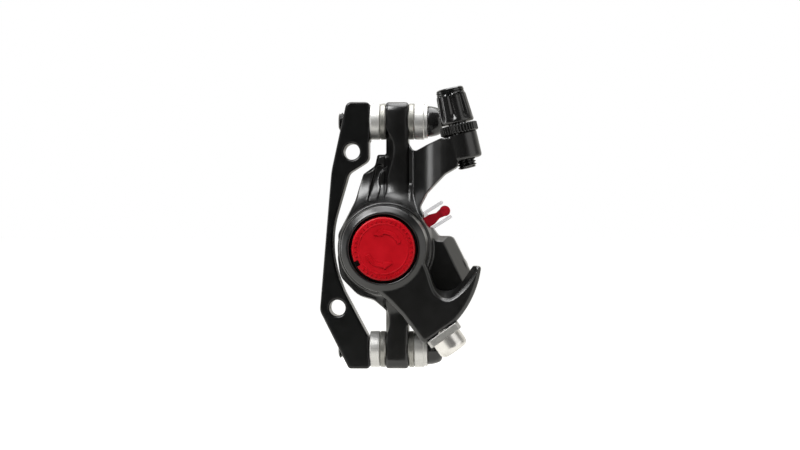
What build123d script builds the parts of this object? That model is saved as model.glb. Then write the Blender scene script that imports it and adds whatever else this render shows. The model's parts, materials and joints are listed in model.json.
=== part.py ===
from build123d import *
import math
import os

# Mechanical disc brake caliper on its frame adapter, in millimetres.
# Origin: pad and arm axis on the rotor's middle plane. +Z up, +X right, -Y is the arm side.

# Rotor and the direction from the rotor's centre out through the caliper
rotor_radius = 80.0
rotor_gap = 1.5
rotor_reach = 69.3
rotor_angle = 32.0
slot_half = 3.0

# Mounting
post_spacing = 74.2
post_top_z = 41.3
post_y = -10.3
ear_left = -0.3
ear_right = 7.0
ear_depth = 12.0
ear_over = 6.2
slot_play = 1.5
bracket_thick = 10.0
bracket_over = 0.3
frame_hole_spacing = 51.0
frame_hole_tilt = 5.26
frame_hole_x = -11.35
frame_hole_z = 31.4
frame_hole_radius = 2.65
waist_dip = 0.109
waist_round = 2 / 3
flank_round = 0.588
mount_bolt_radius = 3.0
mount_bolt_length = 29.0
mount_head_radius = 5.05
mount_head_height = 4.8
mount_socket = 2.5
washer_radius = 5.9
washer_bore = 3.2
cup_thick = 3.15
cone_thick = 2.0
cone_dome = 0.8
flange_thick = 1.0

# Castings
housing_radius = 15.0
housing_draft = 1.0
housing_front = -23.8
housing_rim = 0.7
flange_front = -14.0
web_front = -13.0
web_draft = 8.0
oval_long = 13.4
oval_wide = 3.1
oval_lean = 78.0
oval_deep = 1.2
lobe_front = -20.0
inner_back = 16.0
body_bolt_out = 14.0
body_bolt_side = 17.2
body_bolt_radius = 2.5
body_bolt_seat = 13.0
body_bolt_reach = -11.0
body_head_radius = 4.0
body_head_height = 4.6
body_socket = 2.0
lobe_radius = 5.2
lobe_bevel_angle = 26.0
lobe_gap = 2.5
window_start = 14.9
window_front = -21.0
window_low = -2.0
window_high = 2.9
window_flare = 2.5
cap_thick = 3.0
bore_radius = 12.0

# Arm
arm_front = -32.6
arm_back_gap = 0.6
sector_radius = 31.9
cable_sink = 0.8
bevel = 1.0
cable_y = -26.2
cable_radius = 0.8
hub_radius = 14.2
hub_top_radius = 13.6
lip_radius = 11.5
lip_front = -33.8
shaft_radius = 7.0
end_angle = -54.5
end_rise = 0.147
end_along = -0.19
end_heel = 5.2
end_toe = 5.7
end_flat = 1.61465
arm_swing = 35.0
clamp_bolt_y = -29.4
clamp_bolt_radius = 2.5
clamp_bolt_length = 12.0
clamp_head_radius = 4.85
clamp_head_height = 5.2
clamp_socket = 2.5
clamp_washer_long = 11.4
clamp_washer_wide = 8.4
clamp_washer_thick = 2.3
spring_radius = 10.6
spring_wire = 0.8
seal_radius = 13.85
seal_wide = 0.9

# Ball ramp
ball_radius = 1.5
ball_circle = 9.5
ball_count = 3
arm_lift = 1.0
race_gap = 0.05
race_depth = 0.7
ring_thick = 3.0
ring_radius = 11.7
thrust_thick = 0.5
cage_thick = 0.6
cage_outer = 11.6
cage_inner = 8.1
clip_out = 0.8
clip_in = 0.6
clip_wire = 0.7
clip_gap = 2.5
piston_radius = 11.9
piston_back = -10.2

# Adjusters
knob_radius = 10.05
knob_thick = 2.6
knob_front = -34.0
knob_recess = 10.93
knob_hub_radius = 5.5
knob_hub_length = 4.0
stem_flats = 4.0
foot_radius = 6.5
foot_thick = 1.6
screw_radius = 4.0
nib_radius = 2.4
nib_length = 1.2
inner_knob_thick = 5.0
knob_clip_in = 1.8
inner_clip_in = 2.4
knob_notch_angle = 209.0
knob_notch_out = 9.6
knob_notch_wide = 1.8
stem_reach = 10.5

# Pads
lining_thick = 2.0
plate_thick = 1.8
outboard_face = -3.55
inboard_face = 3.05
pad_half_width = 11.1
pad_outer_end = 12.2
pad_inner_end = -10.5
pad_corner = 4.8
pocket_deep = 0.9
spring_thick = 0.4
spring_out = 1.2

# Cable entry, stations measured up the barrel's axis from the point nearest the pivot
barrel_offset = 31.7
barrel_tilt = 13.19
barrel_tip = 18.9
boss_bottom = 21.7
boss_top = 30.2
lock_thick = 2.9
barrel_top = 44.9
barrel_thread_radius = 3.0
barrel_tube_radius = 3.7
barrel_rim_radius = 4.45
boss_radius = 5.35
lock_radius = 6.1
lock_teeth = 24
grip_bottom = 33.6
grip_top = 43.0
grip_low_radius = 5.5
grip_high_radius = 4.75
grip_flutes = 8
grip_low_cut = 1.15
grip_high_cut = 0.85
socket_radius = 2.55
socket_depth = 8.0
seat_radius = 2.3
seat_thick = 2.0
cable_hole = 1.1

# Transit spacer, measured outward from the pivot
spacer_half = 0.95
spacer_root = 8.0
prong_end = 23.2
prong_high = 3.5
prong_low = -2.05
prong_wide = 1.1
tongue_end = 16.8
grip_ball_radius = 1.75
grip_ball_out = 22.2

# Clearances
running = 0.05
turning = 0.1
loose = 0.3

# Worked-out places
post_low_z = post_top_z - post_spacing
bracket_edge = ear_left - cone_thick - cup_thick
ear_front = post_y - ear_depth / 2
ear_back = post_y + ear_depth / 2
arm_back = housing_front - arm_back_gap
knob_floor = knob_front + knob_thick
knob_clip_y = knob_floor + knob_clip_in
inner_clip_y = inner_back - inner_clip_in
flange_radius = housing_radius + housing_draft
groove_radius = sector_radius - cable_sink
end_rad = math.radians(end_angle)
end_x = (sector_radius + end_rise) * math.cos(end_rad) - end_along * math.sin(end_rad)
end_z = (sector_radius + end_rise) * math.sin(end_rad) + end_along * math.cos(end_rad)
foot_rim = housing_radius - 0.4
bore_front = housing_front + cap_thick
ring_front = bore_front + thrust_thick + running
ring_back = ring_front + ring_thick
ball_y = ring_back + ball_radius - race_depth
piston_front = ball_y + 0.25
rotor_angle_rad = math.radians(rotor_angle)
out_x = math.cos(rotor_angle_rad)
out_z = math.sin(rotor_angle_rad)
outboard_plate_back = outboard_face - lining_thick - plate_thick
inboard_plate_back = inboard_face + lining_thick + plate_thick
tilt_rad = math.radians(barrel_tilt)
across_x = math.cos(tilt_rad)
across_z = math.sin(tilt_rad)
head_x = ear_right + cone_thick + cup_thick + flange_thick


def front_plane(y):
    """A plane facing the arm side, its sketch axes along +X and +Z."""
    return Plane(origin=(0, y, 0), x_dir=(1, 0, 0), z_dir=(0, -1, 0))


def out_plane(y):
    """A plane facing the arm side, its first axis outward from the rotor's centre."""
    return Plane(origin=(0, y, 0), x_dir=(out_x, 0, out_z), z_dir=(0, -1, 0))


def slab(sketch, y_front, y_back):
    """A sketch in X and Z made solid between two depths."""
    return extrude(front_plane(y_back) * sketch, y_back - y_front)


def out_slab(sketch, y_front, y_back):
    """A sketch in outward and sideways directions made solid between two depths."""
    return extrude(out_plane(y_back) * sketch, y_back - y_front)


def disc(radius, y_front, y_back, x=0.0, z=0.0):
    """A round bar along Y."""
    return slab(Pos(x, z) * Circle(radius), y_front, y_back)


def ring(radius, bore, y_front, y_back):
    """A flat ring about the pivot axis."""
    return slab(Circle(radius) - Circle(bore), y_front, y_back)


def outline(corners):
    """A closed outline from (x, z, corner radius) entries."""
    points = [(x, z) for x, z, radius in corners]
    face = make_face(Polyline(*points, close=True))
    for x, z, radius in corners:
        if radius > 0:
            corner = face.vertices().sort_by_distance((x, z, 0))[0]
            face = fillet(corner, radius)
    return Sketch() + face


def out_point(out, side):
    """The X and Z of a place given outward and sideways from the pivot."""
    return (out * out_x - side * out_z, out * out_z + side * out_x)


def bar_x(radius, x_low, x_high, y, z):
    """A round bar along X."""
    start = Plane(origin=(x_low, y, z), x_dir=(0, 1, 0), z_dir=(1, 0, 0))
    return extrude(start * Circle(radius), x_high - x_low)


def spun_x(profile, x, y, z):
    """A profile of (along, radius) points turned about a line along X."""
    place = Plane(origin=(x, y, z), x_dir=(1, 0, 0), z_dir=(0, -1, 0))
    face = make_face(Polyline(*profile, close=True))
    return place * revolve(face, Axis.X)


def spun_y(profile):
    """A profile of (radius, y) points turned about the pivot axis."""
    return revolve(make_face(Polyline(*profile, close=True)), Axis.Y)


def barrel_plane(station):
    """A plane across the barrel's axis at a station, facing up the axis."""
    x = barrel_offset * across_x - station * across_z
    z = barrel_offset * across_z + station * across_x
    return Plane(origin=(x, cable_y, z), x_dir=(across_x, 0, across_z), z_dir=(-across_z, 0, across_x))


def barrel_bar(radius, low, high):
    """A round bar along the barrel's axis."""
    return extrude(barrel_plane(low) * Circle(radius), high - low)


def end_plane(distance, y):
    """A plane on the arm's clamp end, facing out along the clamp bolt."""
    out = (math.cos(end_rad), 0, math.sin(end_rad))
    return Plane(origin=(end_x + distance * out[0], y, end_z + distance * out[2]), x_dir=(0, 1, 0), z_dir=out)


def bevelled_slab(sketch, y_front, y_back, size, depth):
    """A slab whose front edges lean inward by a size over a depth."""
    lean = math.degrees(math.atan2(size, depth))
    top = extrude(front_plane(y_front + depth) * sketch, depth, taper=lean)
    return slab(sketch, y_front + depth, y_back) + top


def spoked(count, start=0.0):
    """The angles of evenly spaced places round a turn."""
    return [start + 360.0 * index / count for index in range(count)]


def body_bolt_places():
    """X and Z of the two screws that join the halves."""
    return [out_point(body_bolt_out, side) for side in (body_bolt_side, -body_bolt_side)]


# Mounting stack


def mount_bracket():
    """The flat adapter with its two frame holes and two screw holes."""
    waist = bracket_edge - 0.35
    dip = waist_dip * frame_hole_spacing
    (high_x, high_z), (low_x, low_z) = frame_holes()
    top = post_top_z + washer_radius + bracket_over
    bottom = post_low_z - washer_radius - bracket_over
    shape = outline([
        (high_x - 1.75, top, 2.0), (bracket_edge, top, 1.5),
        (bracket_edge, post_top_z - 6.3, 0), (waist, post_top_z - 6.7, 0), (waist, high_z - 2.9, 3.0),
        (high_x - 1.05, high_z - 7.1, 3.0),
        (high_x - 8.02, (high_z + low_z) / 2 - dip, waist_round * frame_hole_spacing),
        (low_x + 2.13, low_z + 5.49, 6.0), (waist, post_low_z + 4.0, 2.0), (bracket_edge, bottom, 1.0),
        (low_x + 3.73, bottom, 1.2), (low_x - 5.72, low_z - 0.92, 4.0),
        (high_x - 6.65, high_z - 6.4, flank_round * frame_hole_spacing),
    ])
    front = post_y - bracket_thick / 2
    back = post_y + bracket_thick / 2
    body = slab(shape, front, back)
    ends = body.faces().filter_by(Axis.Y)
    body = fillet([edge for face in ends for edge in face.edges()], 0.7)
    for x, z in frame_holes():
        body -= disc(frame_hole_radius, front - 1, back + 1, x, z)
        mouth = Plane(origin=(x, front, z), x_dir=(1, 0, 0), z_dir=(0, 1, 0))
        body -= mouth * Pos(0, 0, 0.25) * Cone(frame_hole_radius + 0.5, frame_hole_radius, 0.5)
    for z in (post_top_z, post_low_z):
        body -= bar_x(mount_bolt_radius + running, -30, 0, post_y, z)
    return body


def frame_holes():
    """X and Z of the two threaded frame holes."""
    tilt = math.radians(frame_hole_tilt)
    low_x = frame_hole_x - frame_hole_spacing * math.sin(tilt)
    low_z = frame_hole_z - frame_hole_spacing * math.cos(tilt)
    return [(frame_hole_x, frame_hole_z), (low_x, low_z)]


def at_posts(maker):
    """The same piece at both ears."""
    return Compound(children=[maker(z) for z in (post_top_z, post_low_z)])


def mount_bolt(z):
    """One mounting screw with its rounded head, hex socket and grooved tip."""
    head = spun_x([
        (0, 0), (0, mount_head_radius), (1.2, mount_head_radius - 0.1),
        (mount_head_height - 1.0, mount_head_radius - 0.6),
        (mount_head_height - 0.2, mount_head_radius - 1.3),
        (mount_head_height, mount_head_radius - 1.8), (mount_head_height, 0),
    ], head_x, post_y, z)
    tip = head_x - mount_bolt_length
    screw = bar_x(mount_bolt_radius, tip, head_x, post_y, z)
    screw = chamfer(screw.edges().sort_by(Axis.X)[0], 0.6)
    socket = Plane(origin=(head_x + mount_head_height, post_y, z), x_dir=(0, 1, 0), z_dir=(-1, 0, 0))
    hexagon = RegularPolygon(mount_socket, 6, major_radius=False)
    return head + screw - extrude(socket * hexagon, 2.8)


def cone_washer(z, flat_x, way):
    """A washer, flat against the ear and domed toward the cup washer."""
    dome = washer_radius - 1.0
    profile = [
        (0, washer_bore), (0, washer_radius - 0.3), (way * 0.4, washer_radius),
        (way * (cone_thick - 0.4), washer_radius), (way * cone_thick, washer_radius - 0.4),
        (way * cone_thick, dome), (way * (cone_thick + cone_dome * 0.7), (dome + washer_bore) / 2),
        (way * (cone_thick + cone_dome), washer_bore),
    ]
    return spun_x(profile, flat_x, post_y, z)


def cup_washer(z, flat_x, way):
    """A thick washer with a hollow seat for the domed one."""
    dome = washer_radius - 1.0
    profile = [
        (0, washer_bore), (0, washer_radius - 0.25), (way * 0.25, washer_radius),
        (way * (cup_thick - 0.25), washer_radius), (way * cup_thick, washer_radius - 0.25),
        (way * cup_thick, dome), (way * (cup_thick - cone_dome * 0.7), (dome + washer_bore) / 2),
        (way * (cup_thick - cone_dome), washer_bore),
    ]
    return spun_x(profile, flat_x, post_y, z)


def inner_cone_washers():
    return at_posts(lambda z: cone_washer(z, ear_left, -1))


def outer_cone_washers():
    return at_posts(lambda z: cone_washer(z, ear_right, 1))


def inner_cup_washers():
    return at_posts(lambda z: cup_washer(z, ear_left - cone_thick - cup_thick, 1))


def outer_cup_washers():
    return at_posts(lambda z: cup_washer(z, ear_right + cone_thick + cup_thick, -1))


def flange_washer(z):
    """A thin flat washer under the screw's head."""
    start = head_x - flange_thick
    return bar_x(washer_radius - 0.4, start, head_x, post_y, z) - bar_x(
        washer_bore, start - 1, head_x + 1, post_y, z)


# Castings


def ear(z_tip, z_root):
    """One ear, rounded at its tip, with a block that reaches to the housing."""
    block = Pos((ear_left + ear_right) / 2, post_y, (z_tip + z_root) / 2) * Box(
        ear_right - ear_left, ear_depth, abs(z_tip - z_root))
    back = block.edges().filter_by(Axis.X).sort_by_distance((0, ear_back, z_tip))[0]
    block = chamfer(back, 1.0)
    tip = block.edges().filter_by(Axis.X).sort_by_distance((0, ear_front, z_tip))[0]
    block = fillet(tip, 3.2)
    left = block.faces().sort_by(Axis.X)[0]
    right = block.faces().sort_by(Axis.X)[-1]
    rims = [edge for face in (left, right) for edge in face.edges()
            if abs(edge.center().Z - z_root) > 1 and edge.center().Y < ear_back - 0.2]
    return fillet(rims, 0.8)


def ear_slot(z):
    """The long hole of one ear."""
    place = Plane(origin=(ear_left - 1, post_y, z), x_dir=(0, 1, 0), z_dir=(1, 0, 0))
    hole = SlotCenterToCenter(2 * slot_play, 2 * (mount_bolt_radius + loose))
    return extrude(place * hole, ear_right - ear_left + 2)


def foot(y_end, rim=foot_rim):
    """The hollow-curved flare that leads a web forward to the housing's front."""
    rise = y_end - housing_front
    reach = rim + rise
    corner = rise * (1 - math.cos(math.radians(45)))
    curve = ThreePointArc((rim, housing_front), (rim + corner, y_end - corner), (reach, y_end))
    rest = Polyline((reach, y_end), (reach, -slot_half), (0, -slot_half), (0, housing_front),
                    (rim, housing_front))
    return revolve(make_face([curve, rest]), Axis.Y)


def foot_front(z):
    """How far forward an ear's foot stands at a height."""
    rise = ear_front - housing_front
    short = max(0.0, foot_rim + rise - abs(z))
    return housing_front + math.sqrt(max(0.0, rise ** 2 - short ** 2))


def column(z_end):
    """The plain bar from the housing to an ear, before its foot is added."""
    bar = Pos((ear_left + ear_right) / 2, z_end / 2) * Rectangle(ear_right - ear_left, abs(z_end))
    return slab(bar, ear_front, -slot_half) + (slab(bar, housing_front, -slot_half) & foot(ear_front))


def ear_bevel(levels):
    """The wavy leaning cut on an ear's left side, from (z, x of its front edge) entries."""
    depth = ear_depth / 3
    sections = []
    for z, x in levels:
        front = foot_front(z)
        back = front + depth + 1
        lean = (x - ear_left) / depth
        face = make_face(Polyline((x + 3 * lean, front - 3), (x - 8, front - 3), (x - 8, back),
                                  (ear_left - lean, back), close=True))
        sections.append(Plane(origin=(0, 0, z)) * face)
    return loft(sections)


def footed_web(shape):
    """A web with a bevelled edge and a drafted foot on the housing."""
    drafted = extrude(front_plane(web_front) * shape, web_front - housing_front, taper=web_draft)
    return bevelled_slab(shape, web_front, -slot_half, 0.8, 0.8) + (drafted & foot(web_front))


def upper_web():
    """The shoulder and web left of the upper ear, with its long oval pocket."""
    shape = outline([
        (-3.15, 30.5, 0.6), (6.0, 30.5, 0), (6.0, 0, 0), (-14.0, -4.0, 0), (-16.2, 4.2, 4.0),
        (-10.3, 15.6, 12.0), (-7.8, 24.1, 1.6), (-3.95, 26.8, 1.8),
    ])
    oval = Pos(-3.4, 20.8) * Rot(0, 0, oval_lean) * SlotOverall(oval_long, oval_wide)
    floor = web_front + oval_deep
    return footed_web(shape) - (slab(oval, housing_front, floor) - foot(floor, foot_rim - oval_deep))


def lower_web():
    """The shoulder that joins the lower ear to the flange."""
    shape = outline([
        (-14.0, 4.0, 0), (-16.2, -2.5, 6.0), (-15.2, -9.4, 6.0), (-9.2, -15.6, 8.0),
        (-4.2, -17.0, 3.0), (0.0, -20.4, 2.5), (0.3, -27.5, 0), (6.0, -27.5, 0), (6.0, 0, 0),
    ])
    return footed_web(shape)


def cable_arm():
    """The arm that carries the threaded boss of the barrel."""
    side = outline([
        (6.0, 34.0, 0), (7.2, 34.0, 0), (8.9, 31.2, 1.6), (18.0, 35.1, 0), (24.3, 35.0, 0),
        (23.4, 26.0, 2.0), (19.3, 23.7, 3.0), (13.2, 17.6, 4.0), (10.9, 13.4, 1.5),
        (12.4, 10.2, 0.8), (9.0, 8.0, 0), (6.0, 8.0, 0),
    ])
    above = outline([
        (6.0, -12.0, 0), (6.0, ear_front + 0.5, 0), (8.6, ear_front + 0.3, 2.0), (13.6, -26.6, 12.0),
        (19.0, -30.6, 4.0), (30.0, -30.6, 0), (30.0, -21.5, 0), (18.0, -19.0, 0), (12.0, -12.0, 0),
    ])
    block = slab(side, -32, -10)
    swept = block & extrude(Plane.XY * above, 60)
    return swept + (slab(side, housing_front, -10) & foot(ear_front))


def boss():
    """The threaded boss for the barrel."""
    bar = barrel_bar(boss_radius, boss_bottom, boss_top)
    axis = Axis((0, 0, 0), (-across_z, 0, across_x))
    return fillet(bar.edges().sort_by(axis)[0], 0.9)


def side_lobe():
    """The bridge lobe to the right of the housing."""
    low = post_low_z + washer_radius + lobe_gap
    shape = outline([
        (9.0, 6.7, 0), (14.9, 6.7, 1.0), (16.9, 4.0, 0.8), (21.4, 4.0, 2.2), (27.4, -8.0, 4.0),
        (28.6, -13.0, 3.0), (19.0, low + 3.0, 6.0), (ear_right, low, 0), (0, -12.0, 0),
    ])
    lobe = bevelled_slab(shape, lobe_front, -slot_half, 1.8, 4.6)
    edge_x = math.cos(math.radians(lobe_bevel_angle))
    edge_z = math.sin(math.radians(lobe_bevel_angle))
    lean = Plane(origin=(20.7, lobe_front, -2.4), x_dir=(-edge_z, 0, edge_x),
                 z_dir=(2 * edge_x, -1, 2 * edge_z))
    return lobe - extrude(lean * Rectangle(60, 40), 20)


def bridge_bosses(y_front, y_back):
    """The two round pillars that carry the joining screws."""
    return [disc(lobe_radius, y_front, y_back, x, z) for x, z in body_bolt_places()]


def rotor_space():
    """The space that the rotor's rim sweeps through."""
    x, z = out_point(-rotor_reach, 0)
    return disc(rotor_radius + rotor_gap, -slot_half, slot_half, x, z)


def pad_pocket(y_front, y_back):
    """The pocket for a pad, open toward the rotor's centre."""
    wide = 2 * (pad_half_width + loose)
    length = pad_outer_end + loose + 25
    shape = Pos(pad_outer_end + loose - length / 2, 0) * RectangleRounded(length, wide, pad_corner)
    return out_slab(shape, y_front, y_back)


def spacer_window(low, high, y_front, y_back):
    """The opening between the pillars where the spacer comes out."""
    shape = Pos(window_start + 15, (low + high) / 2) * RectangleRounded(30, high - low, 1.5)
    return out_slab(shape, y_front, y_back)


def outboard_body():
    """The main casting with housing, ears, cable arm and half of the bridge."""
    housing = spun_y([
        (0, housing_front), (housing_radius - housing_rim, housing_front),
        (housing_radius, housing_front + housing_rim), (flange_radius, flange_front),
        (flange_radius, -slot_half), (0, -slot_half),
    ])
    upper = ear(post_top_z + ear_over, 22.0) + column(33.0) - ear_bevel(
        [(41.0, -0.2), (36.7, 1.2), (32.5, 2.6), (27.0, 1.5), (22.0, 0.5), (17.0, -0.2)])
    lower = ear(post_low_z - ear_over, -14.0) + column(-25.0) - ear_bevel(
        [(-31.0, -0.25), (-27.4, 0.5), (-23.2, 1.2), (-20.0, 0.5), (-17.0, -0.25)])
    body = housing + upper + lower
    body = body + upper_web() + lower_web() + cable_arm() + side_lobe()
    for pillar in bridge_bosses(flange_front, 0):
        body += pillar
    body += boss()
    body -= rotor_space()
    body -= ring(hub_radius + loose, shaft_radius, arm_front, housing_front)
    body -= disc(bore_radius, bore_front, 5)
    body -= disc(shaft_radius + 1.2, housing_front - 1, bore_front + 1)
    body -= ring(seal_radius + running, seal_radius - seal_wide - running, housing_front - 1,
                 housing_front + 0.8)
    body -= pad_pocket(outboard_plate_back - pocket_deep, 5)
    body -= ear_slot(post_top_z)
    body -= ear_slot(post_low_z)
    body -= spacer_window(window_low, window_high, window_front, 5)
    body -= barrel_bar(barrel_thread_radius + running, boss_bottom - 5, boss_top + 1)
    for x, z in body_bolt_places():
        body -= disc(body_bolt_radius + running, body_bolt_reach - 1, 5, x, z)
    body -= piston_key(loose / 2)
    return body


def inboard_body():
    """The smaller casting on the far side of the rotor."""
    body = disc(flange_radius - 0.4, slot_half, inner_back)
    body = chamfer(body.edges().sort_by(Axis.Y)[-1], 1.0)
    for x, z in body_bolt_places():
        circles = [Circle(13.0).edge(), (Pos(x, z) * Circle(lobe_radius)).edge()]
        web = slab(make_hull(circles), slot_half, body_bolt_seat)
        body += web
        body += disc(lobe_radius, 0, body_bolt_seat, x, z)
    body -= rotor_space()
    body -= spacer_window(window_low - window_flare, window_high + window_flare, -5, inner_back + 1)
    body -= pad_pocket(-5, inboard_plate_back + pocket_deep)
    foot_back = inboard_plate_back + running + foot_thick
    body -= disc(foot_radius + loose, 0, foot_back + 0.6)
    body -= disc(screw_radius + running, 0, inner_back + 1)
    body -= disc(knob_hub_radius + turning, inner_back - knob_hub_length + 0.3, inner_back + 1)
    body -= clip_groove(inner_clip_y)
    for x, z in body_bolt_places():
        body -= disc(body_bolt_radius + running, -1, body_bolt_seat + 1, x, z)
    return body


def body_bolts():
    """The two socket screws that join the halves."""
    screws = []
    for x, z in body_bolt_places():
        top = body_bolt_seat + body_head_height
        head = disc(body_head_radius, body_bolt_seat, top, x, z)
        head = chamfer(head.edges().sort_by(Axis.Y)[-1], 0.4)
        screw = head + disc(body_bolt_radius, body_bolt_reach, body_bolt_seat, x, z)
        hexagon = Pos(x, z) * RegularPolygon(body_socket, 6, major_radius=False)
        screws.append(screw - slab(hexagon, top - 2.5, top + 1))
    return Compound(children=screws)


# Actuation


def notch_section(y, wall):
    """One cross-section of the arm's notch, closed far above the arm."""
    edge = [
        Spline(*wall),
        Polyline(wall[-1], (wall[-1][0] - 1.5, 6.0), (wall[0][0] - 1.0, 6.0), wall[0]),
    ]
    return front_plane(y) * make_face(edge)


def arm_notch():
    """The rounded notch between horn and hub, with leaning walls and a bevelled rim."""
    rear = [(27.9, -5.7), (25.5, -9.2), (22.5, -12.4), (19.4, -13.3),
            (16.9, -12.7), (15.1, -9.5), (13.6, -5.6)]
    rim = [(29.1, -6.2), (26.7, -10.0), (23.5, -13.6), (19.6, -15.7),
           (16.8, -13.9), (14.9, -9.8), (13.2, -5.2)]
    front = [(29.8, -6.8), (27.4, -11.1), (23.9, -14.8), (19.6, -16.7),
             (16.2, -14.6), (14.3, -10.4), (12.6, -5.5)]
    rim_y = arm_front + bevel
    notch = loft([notch_section(arm_back + 0.1, rear), notch_section(rim_y, rim)])
    notch += loft([notch_section(rim_y, rim), notch_section(arm_front, front)])
    return notch + extrude(notch_section(arm_front, front), 2)


def arm_plate():
    """The arm's sector, horn and clamp end."""
    heel = (end_x - end_heel * math.sin(end_rad), end_z + end_heel * math.cos(end_rad))
    toe = (end_x + end_toe * math.sin(end_rad), end_z - end_toe * math.cos(end_rad))
    corner = (toe[0] - end_flat, toe[1])
    halfway = math.radians(end_angle / 2)
    middle = (sector_radius * math.cos(halfway), sector_radius * math.sin(halfway))
    horn = (30.75, -5.95)
    edge = [
        Polyline((-4.0, -12.0), (1.4, -16.4), (6.0, -21.2), corner, toe, heel),
        ThreePointArc(heel, middle, horn),
        Polyline(horn, (30.45, -5.6), (29.6, -5.35), (27.5, -5.4), (0, 0), (-4.0, -12.0)),
    ]
    face = make_face(edge)
    for x, z, radius in ((1.4, -16.4, 20.0), (6.0, -21.2, 20.0), (*corner, 1.4)):
        face = fillet(face.vertices().sort_by_distance((x, z, 0))[0], radius)
    return bevelled_slab(Sketch() + face, arm_front, arm_back, bevel, bevel) - arm_notch()


def torque_arm():
    """The arm casting: hub, plate, shaft, cable groove and clamp hole."""
    recess_floor = knob_floor + 0.2
    hub = spun_y([
        (0, lip_front), (lip_radius, lip_front), (lip_radius + 0.4, lip_front + 0.3),
        (hub_top_radius, lip_front + 1.6), (hub_top_radius + 0.1, arm_front + 2.0),
        (hub_radius, arm_back), (shaft_radius, arm_back), (shaft_radius, piston_front - 0.2),
        (0, piston_front - 0.2),
    ])
    arm = hub + arm_plate()
    arm -= disc(knob_recess, lip_front - 1, recess_floor)
    arm -= disc(knob_hub_radius + turning, recess_floor - 1, recess_floor + knob_hub_length)
    arm -= disc(stem_flats / 2 + 1.0, recess_floor, 0)
    arm -= ring(spring_radius + 2.5 * spring_wire, spring_radius - 2.5 * spring_wire, arm_back - 5.2,
                arm_back + 1)
    arm -= clip_groove(knob_clip_y)
    arm -= ring(shaft_radius + 1, shaft_radius - clip_in - turning, ring_back,
                ring_back + clip_wire + running)
    arm -= cable_groove()
    hole = end_plane(1, clamp_bolt_y)
    arm -= extrude(hole * Circle(clamp_bolt_radius + running), -clamp_bolt_length - 2)
    return arm


def cable_groove():
    """The groove that guides the cable round the sector and along the clamp end."""
    section = Pos(groove_radius, cable_y) * Circle(cable_radius)
    opening = Pos(groove_radius + 1.5, cable_y) * Rectangle(3.0, 2 * cable_radius)
    round_part = revolve(section + opening, Axis.Y, 360)
    keep = slab(Pos(24, -14) * Rectangle(24, 26), arm_front, arm_back + 1)
    slot = Plane(origin=(end_x, cable_y, end_z), x_dir=(0, 1, 0),
                 z_dir=(-math.sin(end_rad), 0, math.cos(end_rad)))
    straight = extrude(slot * Circle(cable_radius), 9, both=True)
    return (round_part & keep) + straight


def clip_groove(y):
    """The groove of a wire ring in the bore round a knob's hub."""
    bore = knob_hub_radius + turning
    return ring(bore + 0.5, bore - 1, y - 0.4, y + 0.4)


def wire_clip(y):
    """An open wire ring, half in the knob's hub and half in the bore."""
    return ring(knob_hub_radius + 0.5, knob_hub_radius - 0.4, y - 0.35, y + 0.35) - Pos(
        knob_hub_radius, y, 0) * Box(3, 2, 1.2)


def clamp_washer():
    """The pressure plate over the cable."""
    plate = extrude(end_plane(0, clamp_bolt_y + 0.3) * RectangleRounded(
        clamp_washer_wide, clamp_washer_long, 1.2), clamp_washer_thick)
    plate = chamfer(plate.edges(), 0.2)
    return plate - extrude(end_plane(-1, clamp_bolt_y) * Circle(clamp_bolt_radius + 0.2), 10)


def clamp_bolt():
    """The cable clamp screw with its rounded head and hex socket."""
    seat = end_plane(clamp_washer_thick, clamp_bolt_y)
    head = extrude(seat * Circle(clamp_head_radius), clamp_head_height)
    axis = Axis((0, 0, 0), tuple(seat.z_dir))
    head = fillet(head.edges().sort_by(axis)[-1], 2.0)
    screw = head + extrude(seat * Circle(clamp_bolt_radius), -clamp_bolt_length)
    top = end_plane(clamp_washer_thick + clamp_head_height, clamp_bolt_y)
    return screw - extrude(top * RegularPolygon(clamp_socket, 6, major_radius=False), -2.6)


def hub_bushing():
    return ring(shaft_radius + 1.2, shaft_radius + running, housing_front, bore_front)


def thrust_washer():
    return ring(ring_radius - 0.5, shaft_radius + loose, bore_front, bore_front + thrust_thick)


def hub_seal():
    return ring(seal_radius, seal_radius - seal_wide, arm_back + running, housing_front + 0.8)


def return_spring():
    """The torsion spring under the arm's hub."""
    pitch = 2.75 * spring_wire
    turns = 1.5
    start = housing_front - spring_wire - 0.1
    path = Helix(pitch, pitch * turns, spring_radius, center=(0, 0, 0), direction=(0, 0, 1))
    section = Plane(origin=path @ 0, z_dir=path % 0) * Circle(spring_wire)
    coil = sweep(section, path=path, is_frenet=True)
    return Pos(0, start, 0) * Rot(90, 0, 0) * coil


def ball_places(turn=0.0):
    """Angles of the balls round the ramp circle."""
    return spoked(ball_count, 90.0 + turn)


def ramp_ring():
    """The hardened ring on the arm's shaft with its ball race."""
    body = ring(ring_radius, shaft_radius, ring_front, ring_back)
    race = Pos(ball_circle, ball_y) * Circle(ball_radius + race_gap)
    return body - revolve(race, Axis.Y, 360)


def arm_retaining_ring():
    return ring(shaft_radius + clip_out, shaft_radius - clip_in, ring_back, ring_back + clip_wire) - Pos(
        shaft_radius, ring_back, 0) * Box(3 * clip_out, 3 * clip_wire, clip_gap)


def ramp_balls():
    """The three balls of the ramp."""
    return Compound(children=[ball_at(angle) for angle in ball_places()])


def ball_at(angle):
    """One ball on the ramp circle."""
    turn = math.radians(angle)
    return Pos(ball_circle * math.cos(turn), ball_y, ball_circle * math.sin(turn)) * Sphere(ball_radius)


def ball_cage():
    """The thin ring that holds the balls apart."""
    middle = (ring_back + piston_front) / 2
    body = ring(cage_outer, cage_inner, middle - cage_thick / 2, middle + cage_thick / 2)
    for angle in ball_places():
        turn = math.radians(angle)
        body -= disc(ball_radius + race_gap, ring_back - 1, piston_front + 1,
                     ball_circle * math.cos(turn), ball_circle * math.sin(turn))
    return body


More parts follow.
